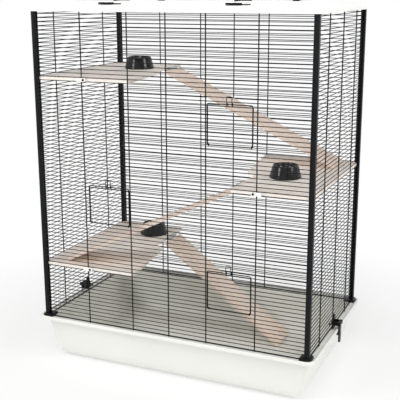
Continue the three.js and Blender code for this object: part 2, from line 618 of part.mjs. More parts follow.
/** Board let in between the posts, with bores for its screws and for its ramp's rod. */
function platformGeometry(platform) {
  const { side, top } = platform;
  const [notchX, notchY] = [HALF_WIDTH - POST - NOTCH_GAP, HALF_DEPTH - POST - NOTCH_GAP];
  const corners = [
    [-NOSE, -BOARD_HALF_Y, 4], ...FREE_EDGE.map(([x, y, radius]) => [-x, y, radius]),
    [-FREE_EDGE.at(-1)[0], BOARD_HALF_Y, 2],
    [-notchX, BOARD_HALF_Y, 0], [-notchX, notchY, 0], [-BOARD_HALF_X, notchY, 0],
    [-BOARD_HALF_X, -notchY, 0], [-notchX, -notchY, 0], [-notchX, -BOARD_HALF_Y, 0],
  ].map(([x, y, radius]) => [-side * x, -side * y, radius]);
  const board = plate(roundedOutline(corners), top - BOARD, top);
  const screwBores = [-1, 1].map((wall) => bar(SCREW_SHANK + BORE, 2 * (SCREW_GRIP + CLEAR), [0, 0])
    .rotateZ(Math.PI / 2)
    .translate(side * (OUTER_UPRIGHT - SCREW_ASIDE), wall * BOARD_HALF_Y, top - BOARD / 2));
  const rodBores = [-1, 1].map((end) => bar(ROD + BORE, 2 * (ROD_GRIP + CLEAR),
    [-rampOf(platform).y - end * ROD_SPAN / 2, top - BOARD / 2]).translate(rampEdge(platform), 0, 0));
  return cut(board, ...screwBores, ...rodBores);
}

/** Plate over an upright, with a lug to the board's edge between two cross wires. */
function clampBody(side, z) {
  const [half, height, thick] = CLAMP;
  const [lugWidth, lugHeight] = CLAMP_LUG;
  const near = UPRIGHT_FAR + CLEAR;
  const u = side * OUTER_UPRIGHT;
  const screw = u - side * SCREW_ASIDE;
  const face = roundedOutline(rectangle(u - half, u + half, z - height / 2, z + height / 2)
    .map((corner) => [...corner, CLAMP_ROUND]));
  const lug = block([screw - lugWidth / 2, -near - 1, z - lugHeight / 2],
    [screw + lugWidth / 2, BEHIND_WIRES - CLEAR, z + lugHeight / 2]);
  return join(sheet(face, near, near + thick), lug);
}

/** Bar into a board's edge at a clamp, that ends a given distance outside the cross wires. */
function clampBar(side, z, radius, out) {
  const length = out + BEHIND_WIRES + SCREW_GRIP;
  return bar(radius, length, [0, 0]).rotateZ(Math.PI / 2)
    .translate(side * (OUTER_UPRIGHT - SCREW_ASIDE), BEHIND_WIRES + SCREW_GRIP - length / 2, z);
}

/** Clamp of the front wall, bored for its screw. */
const boredClamp = (side, z) =>
  cut(clampBody(side, z), clampBar(side, z, SCREW_SHANK + BORE, 2 * UPRIGHT_FAR + CLAMP[2]));

/** Clamp of the back wall, with a peg into the board's edge. */
const peggedClamp = (side, z) => join(clampBody(side, z), clampBar(side, z, SCREW_SHANK, UPRIGHT_FAR));

/** Screw through a clamp into the board's edge. */
function screwGeometry(side, z) {
  const [round, thick] = SCREW_HEAD;
  const u = side * (OUTER_UPRIGHT - SCREW_ASIDE);
  const seat = UPRIGHT_FAR + 2 * CLEAR + CLAMP[2];
  const head = new THREE.CylinderGeometry(round, round, thick, SCREW_SIDES)
    .translate(u, -seat - thick / 2, z);
  return join(head, clampBar(side, z, SCREW_SHANK, seat + thick / 2));
}

// ---------------------------------------------------------------- ramps, rods and hangers
/** Place of a ramp: its platform's edge, the way it runs, its head and its slope. */
function rampPlace(ramp) {
  const platform = PLATFORMS.find(({ name }) => name === ramp.from);
  const landing = PLATFORMS.find(({ name }) => name === ramp.to);
  const headZ = platform.top - RAMP_DROP;
  const footZ = (landing ? landing.top : TRAY_FLOOR) + CLEAR;
  const headGap = ROD_REACH + HANGER_EYE[1] + RAMP_GAP;
  const run = HALF_WIDTH - ramp.gap + FREE_EDGE.at(-1)[0] - headGap;
  const length = Math.hypot(run, headZ - footZ);
  const slope = Math.asin((headZ - footZ) / Math.hypot(length, BOARD)) - Math.atan(BOARD / length);
  return {
    edge: rampEdge(platform), way: -platform.side, headZ, headGap, length, slope,
    rodZ: platform.top - BOARD / 2,
  };
}

/** Section drawn as [distance from the platform's edge, height], carried across the cage. */
function rampStrip(section, { edge, way }, width, y) {
  const shape = outline(section.map(([t, z]) => [edge + way * t, z]));
  return plate(shape, -width / 2, width / 2).rotateX(Math.PI / 2).translate(0, y, 0);
}

/** Board with its head cut upright beside the platform and its foot's corners rounded. */
function rampGeometry(ramp) {
  const place = rampPlace(ramp);
  const { edge, way, headZ, headGap, length, slope } = place;
  const [run, fall] = [Math.cos(slope), Math.sin(slope)];
  const footTop = [headGap + length * run, headZ - length * fall];
  const footLow = [footTop[0] - BOARD * fall, footTop[1] - BOARD * run];
  const board = rampStrip([
    [headGap, headZ], [headGap, headZ - BOARD / run], footLow, footTop,
  ], place, RAMP_WIDTH, ramp.y);
  const [head, foot] = [edge, edge + way * footTop[0]];
  const half = RAMP_WIDTH / 2;
  const plan = roundedOutline([
    [head, ramp.y - half, 0], [foot, ramp.y - half, RAMP_ROUND],
    [foot, ramp.y + half, RAMP_ROUND], [head, ramp.y + half, 0],
  ]);
  return common(board, plate(plan, footLow[1] - BOARD, headZ + BOARD));
}

/** Bent rod whose two legs are let into the platform's edge. */
function rodGeometry(ramp) {
  const { edge, way, rodZ } = rampPlace(ramp);
  const [inside, outside] = [edge - way * ROD_GRIP, edge + way * ROD_REACH];
  const legs = [-1, 1].map((end) => bar(ROD, Math.abs(outside - inside),
    [-ramp.y - end * ROD_SPAN / 2, rodZ]).translate((inside + outside) / 2, 0, 0));
  const cross = bar(ROD, ROD_SPAN + 2 * ROD, [0, 0]).rotateZ(Math.PI / 2)
    .translate(outside, ramp.y, rodZ);
  return join(cross, ...legs);
}

/** Sheet hanger: its eye turns on the rod, its tongue lies under the ramp's head. */
function hangerGeometry(ramp) {
  const place = rampPlace(ramp);
  const { headZ, headGap, rodZ } = place;
  const [run, steep] = [Math.cos(place.slope), Math.tan(place.slope)];
  const [inner, outer] = HANGER_EYE;
  const under = (t, drop) => headZ - (BOARD + CLEAR + drop) / run - (t - headGap) * steep;
  const far = ROD_REACH + outer;
  const near = far - HANGER_SHEET;
  const end = far + HANGER_TONGUE;
  const ring = (radius, width) => rampStrip(octagon(radius, [ROD_REACH, rodZ]), place, width, ramp.y);
  const tongue = rampStrip([
    [near, rodZ - HANGER_SHEET], [far, rodZ - HANGER_SHEET], [far, under(far, 0)],
    [end, under(end, 0)], [end, under(end, HANGER_SHEET)], [near, under(near, HANGER_SHEET)],
  ], place, HANGER_WIDTH, ramp.y);
  return cut(join(ring(outer, HANGER_WIDTH), tongue), ring(inner, HANGER_WIDTH + 1));
}

// ---------------------------------------------------------------- bowls
/** Feeding bowl with a flared skirt, hollow from below. */
const bowlGeometry = () => new THREE.LatheGeometry(
  BOWL_PROFILE.map(([radius, z]) => new THREE.Vector2(radius, z)), BOWL_STEPS,
).rotateX(Math.PI / 2);

// ---------------------------------------------------------------- clips that hold the tray
const CLIP_PIVOT = [
  CAGE_INSET + WALL_INSET + CLIP_PIVOT_OUT, TRAY_HEIGHT + CLIP_PIVOT_RISE,
];

/** Claw on the wall's middle upright: a plate, two fingers over a cross wire, ears and a pin. */
function saddleGeometry() {
  const near = UPRIGHT_FAR + CLEAR;
  const low = TRAY_HEIGHT + CLEAR;
  const face = roundedOutline(mirrored(SADDLE_FACE.map(([u, rise, r]) => [u, low + rise, r])));
  const [out, z] = CLIP_PIVOT;
  const [ear, round] = [CLIP_EYE_WIDTH / 2 + CLEAR, CLIP_EYE[1]];
  const ears = [-1, 1].map((side) => block([side * ear, -out - round, z - round],
    [side * (ear + EAR), -near - 1, z + round]));
  const [u, width, thick] = SADDLE_FINGER;
  const over = wireZ(1) + BEHIND_WIRES;
  const fingers = [-1, 1].map((side) => strip([
    [-BEHIND_WIRES - thick, wireZ(1) - thick], [-BEHIND_WIRES, wireZ(1) - thick],
    [-BEHIND_WIRES, over], [near + 1, over], [near + 1, over + thick],
    [-BEHIND_WIRES - thick, over + thick],
  ], width).translate(side * u, 0, 0));
  return join(sheet(face, near, near + SADDLE_SHEET), ...ears, ...fingers,
    bar(CLIP_PIN, 2 * (ear + EAR), CLIP_PIVOT));
}

/** Lever that turns on the saddle's pin, with a catch under the rim's band. */
function leverGeometry() {
  const [out, z] = CLIP_PIVOT;
  const near = out - CLIP_PIVOT_OUT + LEVER_GAP;
  const face = roundedOutline(mirrored(LEVER_FACE.map(([u, rise, r]) => [u, z + rise, r])));
  const [reach, height, half] = LEVER_CATCH;
  const catchTop = TRAY_HEIGHT - RIM_BAND - CLEAR;
  const hook = block([-half, -near - 1, catchTop - height],
    [half, reach - out + CLIP_PIVOT_OUT, catchTop]);
  return join(sheet(face, near, near + LEVER_SHEET), eye(CLIP_EYE, CLIP_EYE_WIDTH, CLIP_PIVOT),
    hook);
}

// ---------------------------------------------------------------- assembly
const cage = new THREE.Group();

/** Adds one named mesh, from the frame it was drawn in. */
function add(name, geometry, material, frame = new THREE.Matrix4()) {
  const mesh = new THREE.Mesh(geometry.applyMatrix4(frame), material);
  mesh.name = name;
  cage.add(mesh);
}

/** Frame that only shifts. */
const shift = (x, y, z) => new THREE.Matrix4().makeTranslation(x, y, z);

add('base_tray', trayGeometry(), WHITE_PLASTIC);
['front_left', 'front_right', 'back_right', 'back_left'].forEach((corner, turns) => {
  add(`${corner}_post`, postGeometry(), BLACK_PLASTIC, cornerFrame(turns));
});

const walls = {
  front: wallFrame(0, HALF_DEPTH),
  right: wallFrame(1, HALF_WIDTH),
  back: wallFrame(2, HALF_DEPTH),
  left: wallFrame(3, HALF_WIDTH),
};
add('front_wall', meshGeometry(HALF_WIDTH, DOORS), BLACK_WIRE, walls.front);
FRONT_UPRIGHTS.forEach((u, i) => {
  add(`front_upright_${i + 1}`, uprightGeometry(u), BLACK_WIRE, walls.front);
});
add('back_wall', wallGeometry(HALF_WIDTH, FRONT_UPRIGHTS), BLACK_WIRE, walls.back);
for (const side of ['left', 'right']) {
  add(`${side}_wall`, wallGeometry(HALF_DEPTH, SIDE_UPRIGHTS), BLACK_WIRE, walls[side]);
  add(`${side}_clip_saddle`, saddleGeometry(), BLACK_PLASTIC, walls[side]);
  add(`${side}_clip_lever`, leverGeometry(), BLACK_PLASTIC, walls[side]);
}
for (const door of DOORS) {
  add(door.name, doorGeometry(door), BLACK_WIRE, walls.front);
  add(`${door.name}_latch`, latchGeometry(door), BLACK_WIRE, walls.front);
}

for (const platform of PLATFORMS) {
  add(platform.name, platformGeometry(platform), PALE_WOOD);
  const { name, side, top } = platform;
  const edgeZ = top - BOARD / 2;
  add(`${name}_front_clamp`, boredClamp(side, edgeZ), ROOF_PLASTIC, walls.front);
  add(`${name}_front_screw`, screwGeometry(side, edgeZ), BLACK_WIRE, walls.front);
  add(`${name}_back_clamp`, peggedClamp(-side, edgeZ), ROOF_PLASTIC, walls.back);
}
for (const ramp of RAMPS) {
  add(ramp.name, rampGeometry(ramp), PALE_WOOD);
  add(`${ramp.name}_rod`, rodGeometry(ramp), ZINC_STEEL);
  add(`${ramp.name}_hanger`, hangerGeometry(ramp), ZINC_STEEL);
}
for (const bowl of BOWLS) {
  const { top } = PLATFORMS.find(({ name }) => name === bowl.on);
  add(bowl.name, bowlGeometry(), GLOSS_BLACK, shift(...bowl.at, top + CLEAR));
}

add('roof_frame', roofGeometry(), ROOF_PLASTIC);
add('roof_lid', lidGeometry(), BLACK_WIRE);
for (const [side, sign] of [['left', -1], ['right', 1]]) {
  add(`${side}_lid_leaf`, lidLeafGeometry(), BLACK_PLASTIC, shift(sign * LID_HINGE_X, 0, 0));
  add(`${side}_roof_clip`, roofClipGeometry(), BLACK_PLASTIC, shift(sign * ROOF_CLIP_X, 0, 0));
  add(`${side}_lid_hinge`, lidHingeGeometry(), BLACK_PLASTIC, shift(sign * LID_HINGE_X, 0, 0));
  add(`${side}_lid_latch`, lidLatchGeometry(), BLACK_PLASTIC,
    shift(sign * LID_LATCH_X, LID_LATCH_INSET - LID_HALF_Y, 0));
}

export default cage;
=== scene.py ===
"""Looks of a tall wire cage for small pets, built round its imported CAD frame.

Everything is in metres in the frame of the CAD model: +X right, +Y back, +Z up, with the
origin in the middle of the tray's underside.
"""

import logging
import math
from dataclasses import dataclass, field
from enum import Enum

import bpy
import numpy as np
from mathutils import Matrix

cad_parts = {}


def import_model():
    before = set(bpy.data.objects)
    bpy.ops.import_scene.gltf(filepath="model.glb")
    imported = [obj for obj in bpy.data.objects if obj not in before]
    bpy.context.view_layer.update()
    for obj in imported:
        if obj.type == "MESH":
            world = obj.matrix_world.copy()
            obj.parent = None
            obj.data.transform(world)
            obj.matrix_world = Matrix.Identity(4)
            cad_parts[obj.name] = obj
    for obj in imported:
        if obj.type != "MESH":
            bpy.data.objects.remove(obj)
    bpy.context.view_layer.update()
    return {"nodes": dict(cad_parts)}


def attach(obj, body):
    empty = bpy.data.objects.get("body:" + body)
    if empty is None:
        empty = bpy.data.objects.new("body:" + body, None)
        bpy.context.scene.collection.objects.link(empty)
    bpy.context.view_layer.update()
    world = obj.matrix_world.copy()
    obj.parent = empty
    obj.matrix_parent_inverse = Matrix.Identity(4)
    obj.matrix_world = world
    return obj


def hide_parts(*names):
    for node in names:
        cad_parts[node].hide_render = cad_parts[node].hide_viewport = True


LOG = logging.getLogger("cage")
MM = 0.001

# Places shared by several pieces, in metres.
ROW_ZERO = 128.3 * MM
PITCH = 10.4 * MM
ROWS = 78
WALL_BOTTOM = 126.3 * MM
WALL_TOP = 952.4 * MM
CROSS_WIRE = 1.0 * MM  # radius of the cross wires
UPRIGHT_WIRE = 1.5 * MM
UPRIGHT_OUT = 2.8 * MM  # middle of the uprights outside that of the cross wires
RAIL_WIRE = 1.6 * MM  # radius of the rails at the walls' ends
FRAME_HALF_X = 376 * MM  # outer faces of the posts
FRAME_HALF_Y = 226 * MM
CORNER_BEND = 4 * MM  # rounding of the doors' and the lid's frames


def row_height(row: float) -> float:
    """Height of a cross wire.

    Args:
        row: The wire's number, counted from the bottom rail.

    Returns:
        The height of its middle.
    """
    return ROW_ZERO + row * PITCH


# ------------------------------------------------------------------ mesh code


def new_object(name: str, points: np.ndarray, faces: list[np.ndarray]) -> bpy.types.Object:
    """Makes a smooth-shaded mesh object.

    Args:
        name: Name of the object.
        points: Vertices, one row each.
        faces: Arrays of faces; each array holds faces with the same number of corners.

    Returns:
        The object, linked to the scene.
    """
    mesh = bpy.data.meshes.new(name)
    corners = np.concatenate([part.ravel() for part in faces])
    sizes = np.concatenate([np.full(len(part), part.shape[1]) for part in faces])
    mesh.vertices.add(len(points))
    mesh.vertices.foreach_set("co", points.astype(np.float32).ravel())
    mesh.loops.add(len(corners))
    mesh.loops.foreach_set("vertex_index", corners.astype(np.int32))
    mesh.polygons.add(len(sizes))
    starts = np.concatenate([[0], np.cumsum(sizes)[:-1]])
    mesh.polygons.foreach_set("loop_start", starts.astype(np.int32))
    mesh.polygons.foreach_set("loop_total", sizes.astype(np.int32))
    mesh.update(calc_edges=True)
    mesh.validate()
    mesh.shade_smooth()
    made = bpy.data.objects.new(name, mesh)
    bpy.context.scene.collection.objects.link(made)
    LOG.info("%s: %d faces", name, len(sizes))
    return made


@dataclass
class Parts:
    """Vertices and faces of several closed surfaces that make one mesh."""

    points: list[np.ndarray] = field(default_factory=list)
    faces: dict[int, list[np.ndarray]] = field(default_factory=dict)
    count: int = 0

    def add(self, points: np.ndarray, *faces: np.ndarray) -> None:
        """Adds one surface.

        Args:
            points: Its vertices.
            faces: Its faces, as arrays of indices into these vertices.
        """
        self.points.append(points)
        for part in faces:
            self.faces.setdefault(part.shape[1], []).append(part + self.count)
        self.count += len(points)

    def wires(self, starts: np.ndarray, ends: np.ndarray, radius: float, sides: int = 10) -> None:
        """Adds straight round wires with domed ends.

        Each wire is a grid of rings round the line between its ends: three that grow over the
        first end, and the same three in reverse over the other.

        Args:
            starts: One end of each wire.
            ends: The other end of each.
            radius: Radius of the wires.
            sides: Flats round each wire.
        """
        starts, ends = np.atleast_2d(starts), np.atleast_2d(ends)
        along = ends - starts
        length = np.linalg.norm(along, axis=1, keepdims=True)
        along = along / length
        helper = np.where(np.abs(along[:, 2:3]) > 0.9, [[1.0, 0, 0]], [[0, 0, 1.0]])
        across = np.cross(along, helper)
        across /= np.linalg.norm(across, axis=1, keepdims=True)
        upward = np.cross(along, across)
        dome = np.array([[0.0, 0.35], [0.15, 0.75], [0.5, 1.0]]) * radius
        offset = np.concatenate([dome[:, 0], -dome[::-1, 0]])
        size = np.concatenate([dome[:, 1], dome[::-1, 1]])
        base = np.where(np.arange(6)[None, :, None] < 3, starts[:, None], ends[:, None])
        middle = base + offset[None, :, None] * along[:, None]
        angle = np.linspace(0, 2 * np.pi, sides, endpoint=False)
        ring = (np.cos(angle)[:, None] * across[:, None, None, :]
                + np.sin(angle)[:, None] * upward[:, None, None, :])
        points = middle[:, :, None] + size[None, :, None, None] * ring
        grid = np.arange(6 * sides).reshape(6, sides)
        quads = grid_faces(grid, closed=True)
        caps = np.stack([grid[0][::-1], grid[-1]])
        step = (np.arange(len(starts)) * 6 * sides)[:, None, None]
        self.add(points.reshape(-1, 3), (quads[None] + step).reshape(-1, 4),
                 (caps[None] + step).reshape(-1, sides))

    def tube(self, path: np.ndarray, radius: float, closed: bool = False, sides: int = 12) -> None:
        """Adds a bent round wire.

        The path carries a circle that stays square to it, and whose first radius is brought
        along from point to point without a twist.

        Args:
            path: Points along its middle.
            radius: Radius of the wire.
            closed: Whether the path ends where it starts.
            sides: Flats round the wire.
        """
        ahead = np.roll(path, -1, 0) - np.roll(path, 1, 0)
        if not closed:
            ahead[0], ahead[-1] = path[1] - path[0], path[-1] - path[-2]
        ahead /= np.linalg.norm(ahead, axis=1, keepdims=True)
        side = np.cross(ahead[0], [0.31, 0.17, 0.93])
        sideways = []
        for direction in ahead:
            side = side - direction * (side @ direction)
            side = side / np.linalg.norm(side)
            sideways.append(side)
        across = np.array(sideways)
        upward = np.cross(ahead, across)
        angle = np.linspace(0, 2 * np.pi, sides, endpoint=False)
        points = path[:, None] + radius * (np.cos(angle)[:, None] * across[:, None]
                                           + np.sin(angle)[:, None] * upward[:, None])
        grid = np.arange(len(path) * sides).reshape(-1, sides)
        if closed:
            last = np.roll(grid[0], -closest_turn(points[-1], points[0]))
            self.add(points.reshape(-1, 3), grid_faces(np.vstack([grid, last]), closed=True))
        else:
            self.add(points.reshape(-1, 3), grid_faces(grid, closed=True),
                     np.stack([grid[0][::-1], grid[-1]]))

    def loft(self, rings: np.ndarray, loops: bool) -> None:
        """Adds a skin over rings that run anticlockwise.

        Args:
            rings: Rings of points, from the bottom's outside up and over to the inside.
            loops: Whether the last ring joins the first; if not, both get flat caps.
        """
        grid = np.arange(rings.shape[0] * rings.shape[1]).reshape(rings.shape[:2])
        if loops:
            self.add(rings.reshape(-1, 3), grid_faces(np.vstack([grid, grid[:1]]), closed=True))
        else:
            self.add(rings.reshape(-1, 3), grid_faces(grid, closed=True),
                     np.stack([grid[0][::-1], grid[-1]]))

    def build(self, name: str) -> bpy.types.Object:
        """Makes the object.

        Args:
            name: Name of the object.

        Returns:
            The object.
        """
        faces = [np.concatenate(parts) for parts in self.faces.values()]
        return new_object(name, np.concatenate(self.points), faces)


def grid_faces(grid: np.ndarray, closed: bool) -> np.ndarray:
    """Four-cornered faces between the neighbours of a grid.

    Args:
        grid: Vertex numbers, one row for each ring.
        closed: Whether each ring closes on itself.

    Returns:
        The faces, one row each.
    """
    if closed:
        grid = np.hstack([grid, grid[:, :1]])
    return np.stack([grid[:-1, :-1], grid[:-1, 1:], grid[1:, 1:], grid[1:, :-1]], -1).reshape(-1, 4)


def closest_turn(ring: np.ndarray, target: np.ndarray) -> int:
    """How many places a ring is turned against the one that it joins.

    Args:
        ring: Points of the last ring.
        target: Points of the first ring.

    Returns:
        The turn, in places.
    """
    gaps = [np.linalg.norm(np.roll(target, -turn, 0) - ring) for turn in range(len(ring))]
    return int(np.argmin(gaps))


def filleted(corners: np.ndarray, radii: np.ndarray, steps: int = 5,
             closed: bool = False) -> np.ndarray:
    """Rounds the corners of a line with a quadratic curve from leg to leg.

    Args:
        corners: Its corner points, in two or three dimensions.
        radii: How far each rounding reaches along the line from its corner.
        steps: Points in each rounding.
        closed: Whether the line is a closed outline.

    Returns:
        The points of the rounded line.
    """
    out = []
    count = len(corners)
    share = np.linspace(0, 1, steps)[:, None]
    for i, here in enumerate(corners):
        if radii[i] <= 0 or (not closed and i in (0, count - 1)):
            out.append(here[None])
            continue
        before, after = corners[i - 1] - here, corners[(i + 1) % count] - here
        a = here + before / np.linalg.norm(before) * radii[i]
        b = here + after / np.linalg.norm(after) * radii[i]
        out.append((1 - share) ** 2 * a + 2 * share * (1 - share) * here + share ** 2 * b)
    return np.concatenate(out)


def rounded_ring(half_x: float, half_y: float, radius: float, z: float, steps: int) -> np.ndarray:
    """One ring of a moulding: a rectangle whose corners are quarter circles.

    Args:
        half_x: Half its width.
        half_y: Half its depth.
        radius: Radius of its corners.
        z: Its height.
        steps: Faces round each corner.

    Returns:
        Its points, anticlockwise from above.
    """
    rows = []
    for corner, (sx, sy) in enumerate(((1, -1), (1, 1), (-1, 1), (-1, -1))):
        angle = (corner - 1 + np.arange(steps + 1) / steps) * np.pi / 2
        rows.append(np.stack([sx * (half_x - radius) + radius * np.cos(angle),
                              sy * (half_y - radius) + radius * np.sin(angle),
                              np.full(steps + 1, z)], -1))
    return np.concatenate(rows)


# ------------------------------------------------------------------ materials


def linear(hex_colour: str) -> tuple[float, float, float, float]:
    """Linear colour of an sRGB one.

    Args:
        hex_colour: Six hexadecimal digits.

    Returns:
        Red, green, blue and an alpha of 1.
    """
    values = [int(hex_colour[i:i + 2], 16) / 255 for i in (0, 2, 4)]
    red, green, blue = (v / 12.92 if v <= 0.04045 else ((v + 0.055) / 1.055) ** 2.4 for v in values)
    return red, green, blue, 1.0


def add_node(tree: bpy.types.NodeTree, kind: str, inputs: dict | None = None,
             **settings: object) -> bpy.types.Node:
    """Adds a shader node.

    Args:
        tree: The tree that it goes into.
        kind: Its type, without the leading ShaderNode.
        inputs: Values or sockets for its inputs.
        settings: Its other settings.

    Returns:
        The node.
    """
    node = tree.nodes.new("ShaderNode" + kind)
    for name, value in settings.items():
        setattr(node, name, value)
    for name, value in (inputs or {}).items():
        if isinstance(value, bpy.types.NodeSocket):
            tree.links.new(value, node.inputs[name])
        else:
            node.inputs[name].default_value = value
    return node


def blank_material(name: str) -> tuple[bpy.types.Material, bpy.types.NodeTree, bpy.types.Node]:
    """Makes a material that holds one shader.

    Args:
        name: Name of the material.

    Returns:
        The material, its tree and its Principled shader.
    """
    material = bpy.data.materials.new(name)
    material.use_nodes = True
    tree = material.node_tree
    tree.nodes.clear()
    shader = add_node(tree, "BsdfPrincipled")
    add_node(tree, "OutputMaterial", {"Surface": shader.outputs["BSDF"]})
    return material, tree, shader


def noise(tree: bpy.types.NodeTree, size: float, detail: float = 3.0,
          vector: bpy.types.NodeSocket | None = None) -> bpy.types.NodeSocket:
    """Adds a noise whose features have a real size.

    Args:
        tree: The tree that it goes into.
        size: Size of its features, in millimetres.
        detail: Its finer octaves.
        vector: Coordinates; the object's own if left out.

    Returns:
        The socket of its value.
    """
    source = vector or add_node(tree, "TexCoord").outputs["Object"]
    return add_node(tree, "TexNoise", {"Vector": source, "Scale": 1 / (size * MM),
                                       "Detail": detail}).outputs["Fac"]


def ramp_between(tree: bpy.types.NodeTree, value: bpy.types.NodeSocket, low: float, high: float,
                 start: float = 0.3, end: float = 0.7) -> bpy.types.NodeSocket:
    """Maps a noise to a range.

    Args:
        tree: The tree.
        value: The noise.
        low: Result at the range's start.
        high: Result at its end.
        start: Noise value that gives low.
        end: Noise value that gives high.

    Returns:
        The socket of the result.
    """
    return add_node(tree, "MapRange", {"Value": value, "From Min": start, "From Max": end,
                                       "To Min": low, "To Max": high}).outputs["Result"]


def colour_between(tree: bpy.types.NodeTree, share: bpy.types.NodeSocket, low: str,
                   high: str) -> bpy.types.NodeSocket:
    """Mixes two colours.

    Args:
        tree: The tree.
        share: Share of the second colour.
        low: First colour, in hexadecimal.
        high: Second colour.

    Returns:
        The socket of the mixed colour.
    """
    mix = add_node(tree, "Mix", data_type="RGBA")
    tree.links.new(share, mix.inputs[0])
    mix.inputs[6].default_value = linear(low)
    mix.inputs[7].default_value = linear(high)
    return mix.outputs[2]


def bump(tree: bpy.types.NodeTree, shader: bpy.types.Node, height: bpy.types.NodeSocket,
         depth: float) -> None:
    """Gives a shader a bump.

    Args:
        tree: The tree.
        shader: The Principled shader.
        height: The pattern.
        depth: Depth of the pattern, in millimetres.
    """
    node = add_node(tree, "Bump", {"Height": height, "Distance": depth * MM, "Strength": 1.0})
    tree.links.new(node.outputs["Normal"], shader.inputs["Normal"])


@dataclass(frozen=True)
class MouldedPlastic:
    """Moulded plastic: faint flow marks in colour and gloss over a fine mould texture."""

    name: str
    light: str
    dark: str
    gloss: tuple[float, float]
    cloud: float  # size of the flow marks, in millimetres
    grain: float  # size of the mould texture, in millimetres
    depth: float  # depth of the texture, in millimetres
    coat: float = 0.0
    shine: float = 0.5  # strength of its reflections

    def build(self) -> bpy.types.Material:
        """Makes the material.

        Returns:
            The material.
        """
        material, tree, shader = blank_material(self.name)
        cloud = noise(tree, self.cloud, 4)
        share = ramp_between(tree, cloud, 0, 1)
        tree.links.new(colour_between(tree, share, self.dark, self.light),
                       shader.inputs["Base Color"])
        tree.links.new(ramp_between(tree, noise(tree, self.cloud / 5), *self.gloss),
                       shader.inputs["Roughness"])
        shader.inputs["Specular IOR Level"].default_value = self.shine
        shader.inputs["Coat Weight"].default_value = self.coat
        shader.inputs["Coat Roughness"].default_value = 0.08
        bump(tree, shader, noise(tree, self.grain, 2), self.depth)
        return material


@dataclass(frozen=True)
class PowderCoat:
    """Black powder coat on wire, with a slight orange peel."""

    name: str
    light: str
    dark: str
    shine: float

    def build(self) -> bpy.types.Material:
        """Makes the material.

        Returns:
            The material.
        """
        material, tree, shader = blank_material(self.name)
        shader.inputs["Specular IOR Level"].default_value = self.shine
        share = ramp_between(tree, noise(tree, 14), 0, 1)
        tree.links.new(colour_between(tree, share, self.dark, self.light),
                       shader.inputs["Base Color"])
        tree.links.new(ramp_between(tree, noise(tree, 2.5), 0.3, 0.46), shader.inputs["Roughness"])
        bump(tree, shader, noise(tree, 0.7, 2), 0.05)
        return material


@dataclass(frozen=True)
class PlatedSteel:
    """Bright zinc plating with a cloudy roughness."""

    name: str
    light: str
    dark: str

    def build(self) -> bpy.types.Material:
        """Makes the material.

        Returns:
            The material.
        """
        material, tree, shader = blank_material(self.name)
        share = ramp_between(tree, noise(tree, 3), 0, 1)
        tree.links.new(colour_between(tree, share, self.dark, self.light),
                       shader.inputs["Base Color"])
        shader.inputs["Metallic"].default_value = 1.0
        tree.links.new(ramp_between(tree, noise(tree, 1.2), 0.2, 0.42), shader.inputs["Roughness"])
        bump(tree, shader, noise(tree, 0.5, 2), 0.02)
        return material


@dataclass(frozen=True)
class SandedWood:
    """Pale sanded board: long growth lines, short pores and slow changes of tone."""

    name: str
    light: str
    dark: str
    line: str
    slope: float = 0.0  # tilt of the board about Y, in radians
    along: str = "X"  # the way that the grain runs

    def build(self) -> bpy.types.Material:
        """Makes the material.

        Returns:
            The material.
        """
        material, tree, shader = blank_material(self.name)
        place = add_node(tree, "TexCoord").outputs["Object"]
        level = add_node(tree, "Mapping", {"Vector": place, "Rotation": (0, self.slope, 0)})
        stretch = (0.06, 1, 1) if self.along == "X" else (1, 0.06, 1)
        pore_stretch = (0.03, 1, 1) if self.along == "X" else (1, 0.03, 1)
        grain = add_node(tree, "Mapping", {"Vector": level.outputs["Vector"], "Scale": stretch})
        pores = add_node(tree, "Mapping", {"Vector": level.outputs["Vector"],
                                           "Scale": pore_stretch})
        growth = noise(tree, 11, 3, grain.outputs["Vector"])
        fibre = noise(tree, 1.1, 4, pores.outputs["Vector"])
        tone = noise(tree, 120, 2)
        body = colour_between(tree, ramp_between(tree, tone, 0, 1), self.dark, self.light)
        lines = ramp_between(tree, growth, 0.0, 0.55, 0.46, 0.66)
        mix = add_node(tree, "Mix", data_type="RGBA")
        tree.links.new(lines, mix.inputs[0])
        tree.links.new(body, mix.inputs[6])
        mix.inputs[7].default_value = linear(self.line)
        fleck = add_node(tree, "Mix", data_type="RGBA", blend_type="MULTIPLY")
        tree.links.new(ramp_between(tree, fibre, 0.0, 0.16, 0.5, 0.75), fleck.inputs[0])
        tree.links.new(mix.outputs[2], fleck.inputs[6])
        fleck.inputs[7].default_value = linear(self.line)
        tree.links.new(fleck.outputs[2], shader.inputs["Base Color"])
        tree.links.new(ramp_between(tree, fibre, 0.5, 0.72), shader.inputs["Roughness"])
        bump(tree, shader, fibre, 0.08)
        return material


RAMP_TONES = ("FDF0E4", "FAE6D8", "F0D2BC")  # light wood, dark wood and growth lines


